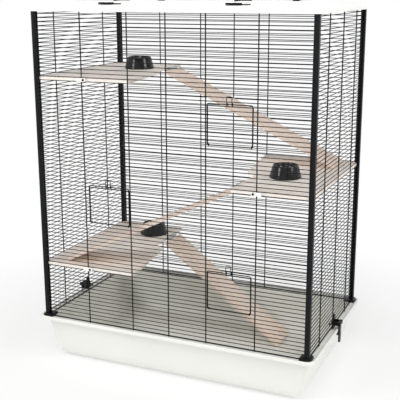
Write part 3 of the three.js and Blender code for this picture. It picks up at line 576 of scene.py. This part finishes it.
class Finish(Enum):
    """The finishes of the cage."""

    # Injection-moulded tub of polypropylene: soft sheen, faint flow clouds.
    TRAY = MouldedPlastic("tray_plastic", "F1F2EC", "EEEFE9", (0.3, 0.4), 140, 1.1, 0.006, 0.1)
    # Whiter moulding of the roof and the clamps, a little duller.
    ROOF = MouldedPlastic("roof_plastic", "FCFBF9", "F9F8F6", (0.34, 0.44), 120, 1.0, 0.01)
    # Black moulding of posts and clips: near black, with a weak reflection.
    BLACK = MouldedPlastic("black_plastic", "0B0D11", "06070A", (0.3, 0.42), 40, 0.8, 0.02,
                           shine=0.2)
    # Polished melamine of the bowls: the soft boxes show as upright stripes.
    GLOSS = MouldedPlastic("gloss_black", "090A0C", "050607", (0.06, 0.14), 30, 2.5, 0.01,
                           shine=0.4)
    # Powder coat on steel wire: black and even, hardly reflecting.
    WIRE = PowderCoat("black_wire", "0B0C0E", "050607", 0.15)
    # Bright zinc on the ramps' rods and hangers.
    ZINC = PlatedSteel("zinc_steel", "C6CACD", "A8ADB0")
    # Sanded softwood, almost white on the boards and warmer on the ramps.
    BOARD = SandedWood("pale_wood", "FFFBF6", "FDF3EA", "F7E4D5", along="Y")
    UPPER_RAMP = SandedWood("pale_wood_upper_ramp", *RAMP_TONES, slope=-0.443)
    MIDDLE_RAMP = SandedWood("pale_wood_middle_ramp", *RAMP_TONES, slope=0.444)
    LOWER_RAMP = SandedWood("pale_wood_lower_ramp", *RAMP_TONES, slope=-0.656)


@dataclass
class Painter:
    """Gives pieces their finish, building each material once."""

    made: dict[Finish, bpy.types.Material] = field(default_factory=dict)

    def paint(self, piece: bpy.types.Object, finish: Finish) -> None:
        """Paints a piece.

        Args:
            piece: The piece.
            finish: Its finish.
        """
        if finish not in self.made:
            self.made[finish] = finish.value.build()
        piece.data.materials.clear()
        piece.data.materials.append(self.made[finish])


# ------------------------------------------------------------------ sub-assemblies


@dataclass
class Cage:
    """What every sub-assembly needs: the frame's nodes and the painter."""

    nodes: dict[str, bpy.types.Object]
    painter: Painter = field(default_factory=Painter)

    def place(self, piece: bpy.types.Object, node: str, body: str, finish: Finish,
              slot: str) -> None:
        """Lets a piece stand for a node.

        Args:
            piece: The piece.
            node: The CAD node.
            body: The body that it rides on.
            finish: Its finish.
            slot: Name of a material slot; not used.
        """
        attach(piece, body)
        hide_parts(node)
        self.painter.paint(piece, finish)

    def keep(self, node: str, finish: Finish, bevel: float) -> None:
        """Shows a CAD node with broken edges and a finish.

        Args:
            node: The node.
            finish: Its finish.
            bevel: Width of the broken edges, in millimetres.
        """
        piece = self.nodes[node]
        edges = piece.modifiers.new("broken_edges", "BEVEL")
        edges.width = bevel * MM
        edges.segments = 2
        edges.limit_method = "ANGLE"
        edges.angle_limit = math.radians(32)
        edges.use_clamp_overlap = True
        edges.harden_normals = True
        piece.data.shade_smooth()
        weld = piece.modifiers.new("even_shading", "WEIGHTED_NORMAL")
        weld.keep_sharp = False
        self.painter.paint(piece, finish)


class Side(Enum):
    """The four walls: quarter turns from the front, half depth or width, half span in it."""

    FRONT = ("front_wall", 0, 220.0, 363.0)
    RIGHT = ("right_wall", 1, 370.0, 213.0)
    BACK = ("back_wall", 2, 220.0, 363.0)
    LEFT = ("left_wall", 3, 370.0, 213.0)

    @property
    def node(self) -> str:
        """The wall's CAD node."""
        return self.value[0]

    @property
    def post_half(self) -> float:
        """Half the way between the posts' inner faces."""
        return self.value[3] * MM

    def world(self, local: np.ndarray) -> np.ndarray:
        """Brings points of the wall into the row frame.

        Args:
            local: Points as along the wall, outwards, upwards.

        Returns:
            The points in the row frame.
        """
        angle = self.value[1] * math.pi / 2
        reach = self.value[2] * MM
        c, s = math.cos(angle), math.sin(angle)
        u, out, z = np.moveaxis(np.asarray(local, float), -1, 0)
        return np.stack([c * u + s * (reach + out), s * u - c * (reach + out), z], -1)


@dataclass(frozen=True)
class Doorway:
    """Place of a door on the front wall."""

    name: str
    row: int
    left: float
    right: float

    @property
    def middle(self) -> float:
        """Middle of the door, along the wall."""
        return (self.left + self.right) / 2


DOORWAYS = (
    Doorway("upper_door", 49, 106.5 * MM, 224.5 * MM),
    Doorway("middle_door", 27, -224.5 * MM, -106.5 * MM),
    Doorway("lower_door", 9, 106.5 * MM, 224.5 * MM),
)
DOOR_ROWS = 9


@dataclass
class WireWall:
    """One wall: round cross wires, uprights welded to their outside and edge wires."""

    side: Side
    uprights: tuple[float, ...]
    doorways: tuple[Doorway, ...] = ()
    into_post: float = 2.2 * MM  # how far the cross wires reach into the posts' grooves
    beside_foot: float = 12.6 * MM  # how far the bottom rail ends from the post, beside its foot
    beside_post: float = 0.5 * MM  # how far the top rail ends from the post
    jamb: float = 1.5 * MM  # middle of the wires beside a doorway, from its edge

    def build(self, cage: Cage) -> None:
        """Builds the wall.

        Args:
            cage: The cage.
        """
        parts = Parts()
        half = self.side.post_half + self.into_post
        foot_half = self.side.post_half - self.beside_foot
        jamb = self.jamb
        spans = []
        for row in range(1, ROWS + 1):
            cutting = [d for d in self.doorways if d.row < row < d.row + DOOR_ROWS]
            if cutting:
                door = cutting[0]
                spans += [(-half, door.left + jamb, row), (door.right - jamb, half, row)]
            else:
                spans.append((-half, half, row))
        rows = np.array(spans)
        heights = row_height(rows[:, 2])
        zero = np.zeros(len(rows))
        parts.wires(self.side.world(np.stack([rows[:, 0], zero, heights], -1)),
                    self.side.world(np.stack([rows[:, 1], zero, heights], -1)), CROSS_WIRE)
        self._lines(parts, [(-half, 0), (half, 0)], row_height(1) - CROSS_WIRE, WALL_TOP,
                    UPRIGHT_WIRE)
        if self.side is not Side.FRONT:
            self._lines(parts, [(u * MM, UPRIGHT_OUT) for u in self.uprights], WALL_BOTTOM,
                        WALL_TOP, UPRIGHT_WIRE, 12)
        for door in self.doorways:
            self._lines(parts, [(door.left + jamb, 0), (door.right - jamb, 0)],
                        row_height(door.row), row_height(door.row + DOOR_ROWS), CROSS_WIRE)
        for reach, z in ((foot_half, WALL_BOTTOM + RAIL_WIRE),
                         (self.side.post_half - self.beside_post, WALL_TOP - RAIL_WIRE)):
            parts.wires(self.side.world(np.array([-reach, 0, z])),
                        self.side.world(np.array([reach, 0, z])), RAIL_WIRE, 12)
        wall = parts.build(self.side.node + "_wires")
        cage.place(wall, self.side.node, "frame", Finish.WIRE, "black_wire")
        if self.side is Side.FRONT:
            for number, u in enumerate(self.uprights, 1):
                one = Parts()
                self._lines(one, [(u * MM, UPRIGHT_OUT)], WALL_BOTTOM, WALL_TOP, UPRIGHT_WIRE, 16)
                node = f"front_upright_{number}"
                cage.place(one.build(node + "_wire"), node, "frame", Finish.WIRE, "black_wire")

    def _lines(self, parts: Parts, places: list[tuple[float, float]], low: float, high: float,
               radius: float, sides: int = 10) -> None:
        """Adds upright wires.

        Args:
            parts: The wall's mesh.
            places: Where they stand, along the wall and outwards.
            low: Their lower end.
            high: Their upper end.
            radius: Their radius.
            sides: Flats round each.
        """
        at = np.array([[u, out, 0] for u, out in places])
        parts.wires(self.side.world(at + [0, 0, low]), self.side.world(at + [0, 0, high]), radius,
                    sides)


@dataclass
class WireDoor:
    """A drop-down door with coiled hinges, and the bent wire latch on its top wire."""

    way: Doorway
    frame: float = 1.3 * MM  # radius of the frame's wire
    frame_in: float = 1.5 * MM  # middle of that wire, from the doorway's edge
    frame_out: float = 3.05 * MM  # middle of that wire, outside the wall's cross wires
    bars_out: float = 2.8 * MM  # middle of the door's cross wires
    coil_in: float = 4.5 * MM  # middle of a hinge coil, from the doorway's edge
    coil: float = 2.6 * MM  # radius of the coil
    coil_wire: float = 0.75 * MM
    coil_pitch: float = 1.4 * MM  # length of one of its turns
    latch: float = 0.9 * MM  # radius of the latch's wire
    eye: float = 3.15 * MM  # radius of the eye round the frame's wire
    latch_half: float = 7.5 * MM  # half the latch's width
    latch_rest: float = 1.3 * MM  # underside of its end, above the middle of a cross wire
    latch_out: float = 2.2 * MM  # how far its end stays outside the cross wires

    def build(self, cage: Cage) -> None:
        """Builds the door and its latch.

        Args:
            cage: The cage.
        """
        way = self.way
        parts = Parts()
        hinge = row_height(way.row)
        top = row_height(way.row + DOOR_ROWS + 0.5)
        out = self.frame_out
        left, right = way.left + self.frame_in, way.right - self.frame_in
        corners = np.array([[left, out, hinge], [right, out, hinge], [right, out, top],
                            [left, out, top]])
        parts.tube(Side.FRONT.world(filleted(corners, np.full(4, CORNER_BEND), 6, True)),
                   self.frame, True)
        rows = row_height(way.row + np.arange(1, DOOR_ROWS + 1))
        flat = np.full(DOOR_ROWS, self.bars_out)
        parts.wires(Side.FRONT.world(np.stack([np.full(DOOR_ROWS, left), flat, rows], -1)),
                    Side.FRONT.world(np.stack([np.full(DOOR_ROWS, right), flat, rows], -1)),
                    CROSS_WIRE)
        turn = np.linspace(0.5, 2 * np.pi * 1.5 - 0.5, 30)  # one turn and a half, less its ends
        for u in (way.left + self.coil_in, way.right - self.coil_in):
            coil = np.stack([u + (turn / (2 * np.pi) - 0.75) * self.coil_pitch,
                             self.coil * np.sin(turn), hinge + self.coil * np.cos(turn)], -1)
            parts.tube(Side.FRONT.world(coil), self.coil_wire)
        cage.place(parts.build(way.name + "_wires"), way.name, way.name, Finish.WIRE, "black_wire")
        self._latch(cage, top, out)

    def _latch(self, cage: Cage, pivot: float, out: float) -> None:
        """Builds the latch.

        Args:
            cage: The cage.
            pivot: Height of the door's top wire.
            out: How far that wire stands out.
        """
        way, wire, eye = self.way, self.latch, self.eye
        rest = row_height(way.row + DOOR_ROWS + 2) + self.latch_rest + wire
        turn = np.linspace(-0.35 * np.pi, 1.5 * np.pi, 20)  # the eye, open towards the wall
        side = way.middle - self.latch_half + wire
        ring = np.stack([np.full(20, side), out + eye * np.sin(turn + np.pi),
                         pivot + eye * np.cos(turn)], -1)
        leg = out + eye
        ring[-1] = (side, leg, pivot)
        bends = np.array([[side, leg, pivot + 1 * MM], [side, leg, rest],
                          [side, self.latch_out, rest], [way.middle, self.latch_out, rest]])
        arm = filleted(bends, np.array([0, 3, 3, 0]) * MM, 6)
        half = np.concatenate([ring, arm])
        other = half[::-1].copy()
        other[:, 0] = 2 * way.middle - other[:, 0]
        parts = Parts()
        parts.tube(Side.FRONT.world(np.concatenate([half, other[1:]])), wire)
        name = way.name + "_latch"
        cage.place(parts.build(name + "_wire"), name, name, Finish.WIRE, "black_wire")


@dataclass
class Tray:
    """The moulded tub, with a rolled lip, a ledge and drafted walls."""

    half_x: float = 390 * MM
    half_y: float = 240 * MM
    corner: float = 20 * MM
    taper: float = 0.22
    # Inset from the rim's face, height and rounding, from the underside up and over.
    profile: tuple[tuple[float, float, float], ...] = (
        (71, 0, 0), (56, 2.6, 6), (44, 12, 8), (36, 26, 8), (31, 45, 8), (26, 70, 8),
        (17, 120, 2.5), (0, 120, 1.2), (0, 130, 1.8), (5, 130, 1.6), (5.4, 126, 1.2),
        (26, 126, 2.5), (30, 70, 8), (35, 45, 6), (40, 28, 6), (46, 15, 4), (52, 8, 3), (61, 5, 0),
    )

    def build(self, cage: Cage) -> None:
        """Builds the tray.

        Args:
            cage: The cage.
        """
        data = np.array(self.profile)
        line = filleted(data[:, :2], data[:, 2], 6) * MM
        rings = np.stack([rounded_ring(self.half_x - inset, self.half_y - inset,
                                       self.corner - self.taper * inset, z, 16)
                          for inset, z in line])
        parts = Parts()
        parts.loft(rings, loops=False)
        cage.place(parts.build("tray_tub"), "base_tray", "frame", Finish.TRAY, "tray_plastic")


@dataclass
class Roof:
    """The moulded roof frame, its wire lid and the lid's fittings."""

    half_x: float = 378 * MM
    half_y: float = 228 * MM
    # Inset from the roof's edge, height, corner radius and rounding, round the whole section.
    profile: tuple[tuple[float, float, float, float], ...] = (
        (0, 945, 5, 0.6), (0, 956, 5, 2.5), (4, 960, 12, 2.5), (14, 961.5, 22, 3),
        (30, 962.5, 20, 5), (46, 969.5, 12, 5), (56, 971, 8, 3), (60, 971, 1.5, 1.2),
        (60, 961, 1.5, 0.8), (66, 961, 1.5, 0.8), (66, 958, 1.5, 0.8), (17, 958, 1.5, 1),
        (17, 952.7, 1.5, 1), (1.7, 952.7, 3.3, 0.5), (1.7, 945, 3.3, 0.4),
    )
    lid_half_x: float = 317.1 * MM
    lid_half_y: float = 167.1 * MM
    lid_z: float = 961.6 * MM
    lid_high: float = 4.4 * MM  # height of the lid over its stays
    lid_edge: float = 1.25 * MM  # radius of the wire round its edge
    stay_wire: float = 0.95 * MM  # radius of the stays
    stays: tuple[float, ...] = (-235, -104, 0, 104, 235)

    def build(self, cage: Cage) -> None:
        """Builds the roof and the lid.

        Args:
            cage: The cage.
        """
        data = np.array(self.profile)
        line = filleted(data[:, :3], data[:, 3], 5, True) * MM
        rings = np.stack([rounded_ring(self.half_x - inset, self.half_y - inset, corner, z, 12)
                          for inset, z, corner in line])
        parts = Parts()
        parts.loft(rings, loops=True)
        cage.place(parts.build("roof_shell"), "roof_frame", "frame", Finish.ROOF, "roof_plastic")
        self._lid(cage)
        for side in ("left", "right"):
            for name in ("roof_clip", "lid_hinge", "lid_latch", "lid_leaf"):
                cage.keep(f"{side}_{name}", Finish.BLACK, 0.5)

    def _lid(self, cage: Cage) -> None:
        """Builds the wire lid.

        Args:
            cage: The cage.
        """
        parts = Parts()
        edge = self.lid_edge
        x, y, z = self.lid_half_x - edge, self.lid_half_y - edge, self.lid_z + edge
        corners = np.array([[-x, -y, z], [x, -y, z], [x, y, z], [-x, y, z]])
        parts.tube(filleted(corners, np.full(4, CORNER_BEND), 6, True), edge, True)
        count = int(2 * (self.lid_half_y - 2 * edge) // PITCH)
        at = (np.arange(count) - (count - 1) / 2) * PITCH
        ends = np.stack([np.full(count, x), at, np.full(count, z)], -1)
        parts.wires(ends * [-1, 1, 1], ends, CROSS_WIRE)
        stay = self.stay_wire
        top = self.lid_z + self.lid_high - stay
        over = np.array([[s * MM, y, top] for s in self.stays])
        parts.wires(over * [1, -1, 1], over, stay)
        lid = parts.build("roof_lid_wires")
        cage.place(lid, "roof_lid", "lid", Finish.WIRE, "black_wire")


@dataclass
class Posts:
    """The four posts with their feet."""

    size: float = 13.0
    radius: float = 3.0
    groove: tuple[float, float, float] = (8.7, 4.7, 7.3)
    low: float = 133.0 * MM
    high: float = 952.4 * MM
    # Points of the shallow line that is moulded into an outer face.
    line: tuple[tuple[float, float], ...] = ((9.0, 0.0), (9.4, 0.45), (9.8, 0.0))
    # The foot: height of its underside and top, reach out and in, outer and other corners.
    foot: tuple[float, float, float, float, float, float] = (126.3, 134.0, 5.0, 25.0, 8.0, 3.0)

    def build(self, cage: Cage) -> None:
        """Builds the posts.

        Args:
            cage: The cage.
        """
        bottom, near, far = self.groove
        side = [(self.size, 0.0, 1.0), (self.size, near, 0.5), (bottom, near, 0.0),
                (bottom, far, 0.0), (self.size, far, 0.5), (self.size, self.size, 1.0)]
        mirrored = [(y, x, r) for x, y, r in side[::-1]][1:]
        arc = np.linspace(0, np.pi / 2, 18)
        curve = self.radius * (1 - np.stack([np.cos(arc), np.sin(arc)], -1))
        data = np.array(side + mirrored)
        line = np.array(self.line)
        flat = np.vstack([filleted(data[:, :2], data[:, 2], 4, True), line[::-1, ::-1],
                          curve, line]) * MM
        for name, turns, sx, sy in (("front_left", 0, -1, -1), ("front_right", 1, 1, -1),
                                    ("back_right", 2, 1, 1), ("back_left", 3, -1, 1)):
            angle = turns * math.pi / 2
            c, s = math.cos(angle), math.sin(angle)
            spin = np.array([[c, s], [-s, c]])
            place = np.array([sx * FRAME_HALF_X, sy * FRAME_HALF_Y])
            plan = flat @ spin + place
            heights = np.array([self.low, self.high])
            rings = np.concatenate([np.repeat(plan[None], 2, 0),
                                    np.repeat(heights[:, None, None], len(plan), 1)], -1)
            parts = Parts()
            parts.loft(rings, loops=False)
            parts.loft(self._foot(spin, place), loops=False)
            post = parts.build(name + "_post_moulding")
            post.data.set_sharp_from_angle(angle=math.radians(35))
            cage.place(post, name + "_post", "frame", Finish.BLACK, "black_plastic")

    def _foot(self, spin: np.ndarray, place: np.ndarray) -> np.ndarray:
        """Rings of a foot with broken edges.

        Args:
            spin: Turn of its corner.
            place: The post's outer corner.

        Returns:
            The rings, from the underside up.
        """
        low, high, out, far, outer, other = self.foot
        rings = []
        for z, inset in ((low, 0.6), (low + 0.6, 0), (high - 1.4, 0), (high - 0.4, 0.5),
                         (high, 1.4)):
            near, end = -out + inset, far - inset
            plan = np.array([[near, near], [end, near], [end, end], [near, end]])
            flat = filleted(plan, np.array([outer, other, other, other]) - inset, 6, True) * MM
            turned = flat @ spin + place
            rings.append(np.concatenate([turned, np.full((len(turned), 1), z * MM)], -1))
        return np.stack(rings)


@dataclass
class Woodwork:
    """Platforms and ramps with the metal that holds them."""

    platforms: tuple[str, ...] = ("upper_platform", "right_platform", "lower_platform")
    ramps: tuple[tuple[str, Finish], ...] = (
        ("upper_ramp", Finish.UPPER_RAMP), ("middle_ramp", Finish.MIDDLE_RAMP),
        ("lower_ramp", Finish.LOWER_RAMP),
    )

    def build(self, cage: Cage) -> None:
        """Finishes the boards and their metal.

        Args:
            cage: The cage.
        """
        for name in self.platforms:
            cage.keep(name, Finish.BOARD, 1.0)
            for wall in ("front", "back"):
                cage.keep(f"{name}_{wall}_clamp", Finish.ROOF, 0.6)
            cage.keep(f"{name}_front_screw", Finish.WIRE, 0.4)
        for name, finish in self.ramps:
            cage.keep(name, finish, 1.0)
            cage.keep(name + "_rod", Finish.ZINC, 0.3)
            cage.keep(name + "_hanger", Finish.ZINC, 0.3)


@dataclass
class Bowls:
    """Three glossy feeding bowls, turned about their middle."""

    places: tuple[tuple[str, float, float, float], ...] = (
        ("upper_bowl", -222, 65, 782.6), ("right_bowl", 246, -40, 533.0),
        ("lower_bowl", -220, 133, 283.4),
    )
    # Radius, height and rounding, from the middle of the underside outwards.
    profile: tuple[tuple[float, float, float], ...] = (
        (0, 6, 0), (19, 6, 3), (25, 26, 3), (30, 29, 1.5), (38.5, 0.2, 0.2), (41, 0, 0.8),
        (41, 2.5, 1.2), (33, 31, 1.4), (31.5, 33, 1.2), (29.5, 32, 1.5), (21.5, 11, 4),
        (17, 8.5, 3), (0, 8.5, 0),
    )
    pole: float = 0.4 * MM  # radius of the small flat in the middle of the floor
    flats: int = 96  # faces round a bowl

    def build(self, cage: Cage) -> None:
        """Builds the bowls.

        Args:
            cage: The cage.
        """
        data = np.array(self.profile)
        line = filleted(data[:, :2], data[:, 2], 5) * MM
        line[0, 0] = line[-1, 0] = self.pole
        angle = np.linspace(0, 2 * np.pi, self.flats, endpoint=False)
        for name, x, y, z in self.places:
            rings = np.stack([line[:, :1] * np.cos(angle) + x * MM,
                              line[:, :1] * np.sin(angle) + y * MM,
                              np.repeat(line[:, 1:], len(angle), 1) + z * MM], -1)
            parts = Parts()
            parts.loft(rings, loops=False)
            cage.place(parts.build(name + "_turned"), name, name, Finish.GLOSS, "gloss_black")


@dataclass
class TrayClips:
    """The clips at the sides: a saddle on the wall and the lever that holds the tray."""

    def build(self, cage: Cage) -> None:
        """Finishes the clips.

        Args:
            cage: The cage.
        """
        for side in ("left", "right"):
            cage.keep(f"{side}_clip_saddle", Finish.BLACK, 0.6)
            cage.keep(f"{side}_clip_lever", Finish.BLACK, 0.8)


# ------------------------------------------------------------------ studio


@dataclass
class Studio:
    """White studio: floor, soft lights and the photograph's camera."""

    eye: tuple[float, float, float] = (884.9, -2028.3, 1000.7)
    yaw: float = 0.4152
    pitch: float = -0.2486
    roll: float = -0.0027
    focal: float = 835.84  # in pixels of a 400 pixel wide picture
    picture: float = 400.0
    sensor: float = 36.0  # width of the camera's sensor, in millimetres
    clip: tuple[float, float] = (0.05, 60.0)
    floor_half: float = 12.0
    aim: tuple[float, float, float] = (0.0, 0.0, 0.5)  # what the lamps point at
    room: float = 0.5  # strength of the light from all round
    glow: float = 0.6  # share of plain white in the floor beside the cage
    bright: tuple[float, float] = (0.55, 1.1)  # where the floor starts and ends to turn plain white
    # Name, place, width and height of the face, power in watts.
    lamps: tuple[tuple[str, tuple[float, float, float], tuple[float, float], float], ...] = (
        ("key", (0.5, -2.2, 3.4), (1.4, 1.4), 40.0),
        ("left_box", (-1.6, -2.6, 2.1), (0.9, 1.4), 34.0),
        ("right_box", (2.7, -0.5, 2.0), (0.9, 1.4), 30.0),
    )

    def build(self) -> None:
        """Builds the studio."""
        self._view()
        self._world()
        self._floor()
        for lamp in self.lamps:
            self._lamp(*lamp)
        self._camera()

    def _view(self) -> None:
        """Shows colours as they are."""
        bpy.context.scene.view_settings.view_transform = "Standard"

    def _world(self) -> None:
        """Fills the room with white light."""
        world = bpy.data.worlds.new("studio")
        bpy.context.scene.world = world
        world.use_nodes = True
        tree = world.node_tree
        tree.nodes.clear()
        room = add_node(tree, "Background", {"Color": linear("FBFBFA"), "Strength": self.room})
        seen = add_node(tree, "Background", {"Color": (1, 1, 1, 1), "Strength": 1.0})
        mix = add_node(tree, "MixShader", {0: self._seen_ray(tree)})
        tree.links.new(room.outputs[0], mix.inputs[1])
        tree.links.new(seen.outputs[0], mix.inputs[2])
        add_node(tree, "OutputWorld", {"Surface": mix.outputs[0]})

    def _seen_ray(self, tree: bpy.types.NodeTree) -> bpy.types.NodeSocket:
        """Adds a test for the rays that show the background.

        Args:
            tree: The tree that it goes into.

        Returns:
            A socket that is 1 for rays from the camera, a reflection or a clear piece.
        """
        path = add_node(tree, "LightPath")
        either = add_node(tree, "Math", {0: path.outputs["Is Camera Ray"],
                                         1: path.outputs["Is Glossy Ray"]}, operation="MAXIMUM")
        clear = path.outputs["Is Transmission Ray"]
        every = add_node(tree, "Math", {0: either.outputs[0], 1: clear}, operation="MAXIMUM")
        return every.outputs[0]

    def _floor(self) -> None:
        """Adds the white floor, which keeps part of the cage's shadow."""
        half = self.floor_half
        points = np.array([[-half, -half, 0], [half, -half, 0], [half, half, 0], [-half, half, 0]])
        floor = new_object("floor", points, [np.array([[0, 1, 2, 3]])])
        material = bpy.data.materials.new("studio_floor")
        material.use_nodes = True
        tree = material.node_tree
        tree.nodes.clear()
        paper = add_node(tree, "BsdfDiffuse", {"Color": linear("FAFAFA")})
        white = add_node(tree, "Emission", {"Color": (1, 1, 1, 1), "Strength": 1.0})
        place = add_node(tree, "TexCoord").outputs["Object"]
        away = add_node(tree, "VectorMath", {0: place}, operation="LENGTH").outputs["Value"]
        start, end = self.bright
        glow = ramp_between(tree, away, self.glow, 1.0, start, end)
        share = add_node(tree, "Math", {0: self._seen_ray(tree), 1: glow}, operation="MULTIPLY")
        mix = add_node(tree, "MixShader", {0: share.outputs[0]})
        tree.links.new(paper.outputs[0], mix.inputs[1])
        tree.links.new(white.outputs[0], mix.inputs[2])
        add_node(tree, "OutputMaterial", {"Surface": mix.outputs[0]})
        floor.data.materials.append(material)

    def _lamp(self, name: str, place: tuple[float, float, float], size: tuple[float, float],
              power: float) -> None:
        """Adds a soft lamp aimed at the cage.

        Args:
            name: Its name.
            place: Where it hangs, in metres.
            size: Width and height of its face, in metres.
            power: Its power, in watts.
        """
        light = bpy.data.lights.new(name, "AREA")
        light.shape = "RECTANGLE"
        light.size, light.size_y = size
        light.energy = power
        lamp = bpy.data.objects.new(name, light)
        bpy.context.scene.collection.objects.link(lamp)
        lamp.location = place
        aim = np.array(self.aim) - np.array(place)
        lamp.rotation_euler = (math.pi - math.acos(aim[2] / np.linalg.norm(aim)), 0,
                               math.atan2(aim[1], aim[0]) - math.pi / 2)

    def _camera(self) -> None:
        """Sets up the photograph's camera."""
        data = bpy.data.cameras.new("camera")
        data.sensor_width = self.sensor
        data.lens = self.focal * self.sensor / self.picture
        data.clip_start, data.clip_end = self.clip
        camera = bpy.data.objects.new("camera", data)
        bpy.context.scene.collection.objects.link(camera)
        turn = (Matrix.Rotation(self.yaw, 4, "Z")
                @ Matrix.Rotation(math.pi / 2 + self.pitch, 4, "X")
                @ Matrix.Rotation(self.roll, 4, "Z"))
        camera.matrix_world = Matrix.Translation([value * MM for value in self.eye]) @ turn
        bpy.context.scene.camera = camera


def main() -> None:
    """Builds the dressed cage."""
    logging.basicConfig(level=logging.INFO, format="%(message)s")
    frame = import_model()
    cage = Cage(frame["nodes"])
    Studio().build()
    Tray().build(cage)
    Posts().build(cage)
    wide = (-235, -104, 0, 104, 235)
    deep = (-127, 0, 127)
    for wall in (WireWall(Side.FRONT, wide, DOORWAYS), WireWall(Side.BACK, wide),
                 WireWall(Side.LEFT, deep), WireWall(Side.RIGHT, deep)):
        wall.build(cage)
    for way in DOORWAYS:
        WireDoor(way).build(cage)
    Roof().build(cage)
    Woodwork().build(cage)
    Bowls().build(cage)
    TrayClips().build(cage)


if __name__ == "__main__":
    main()
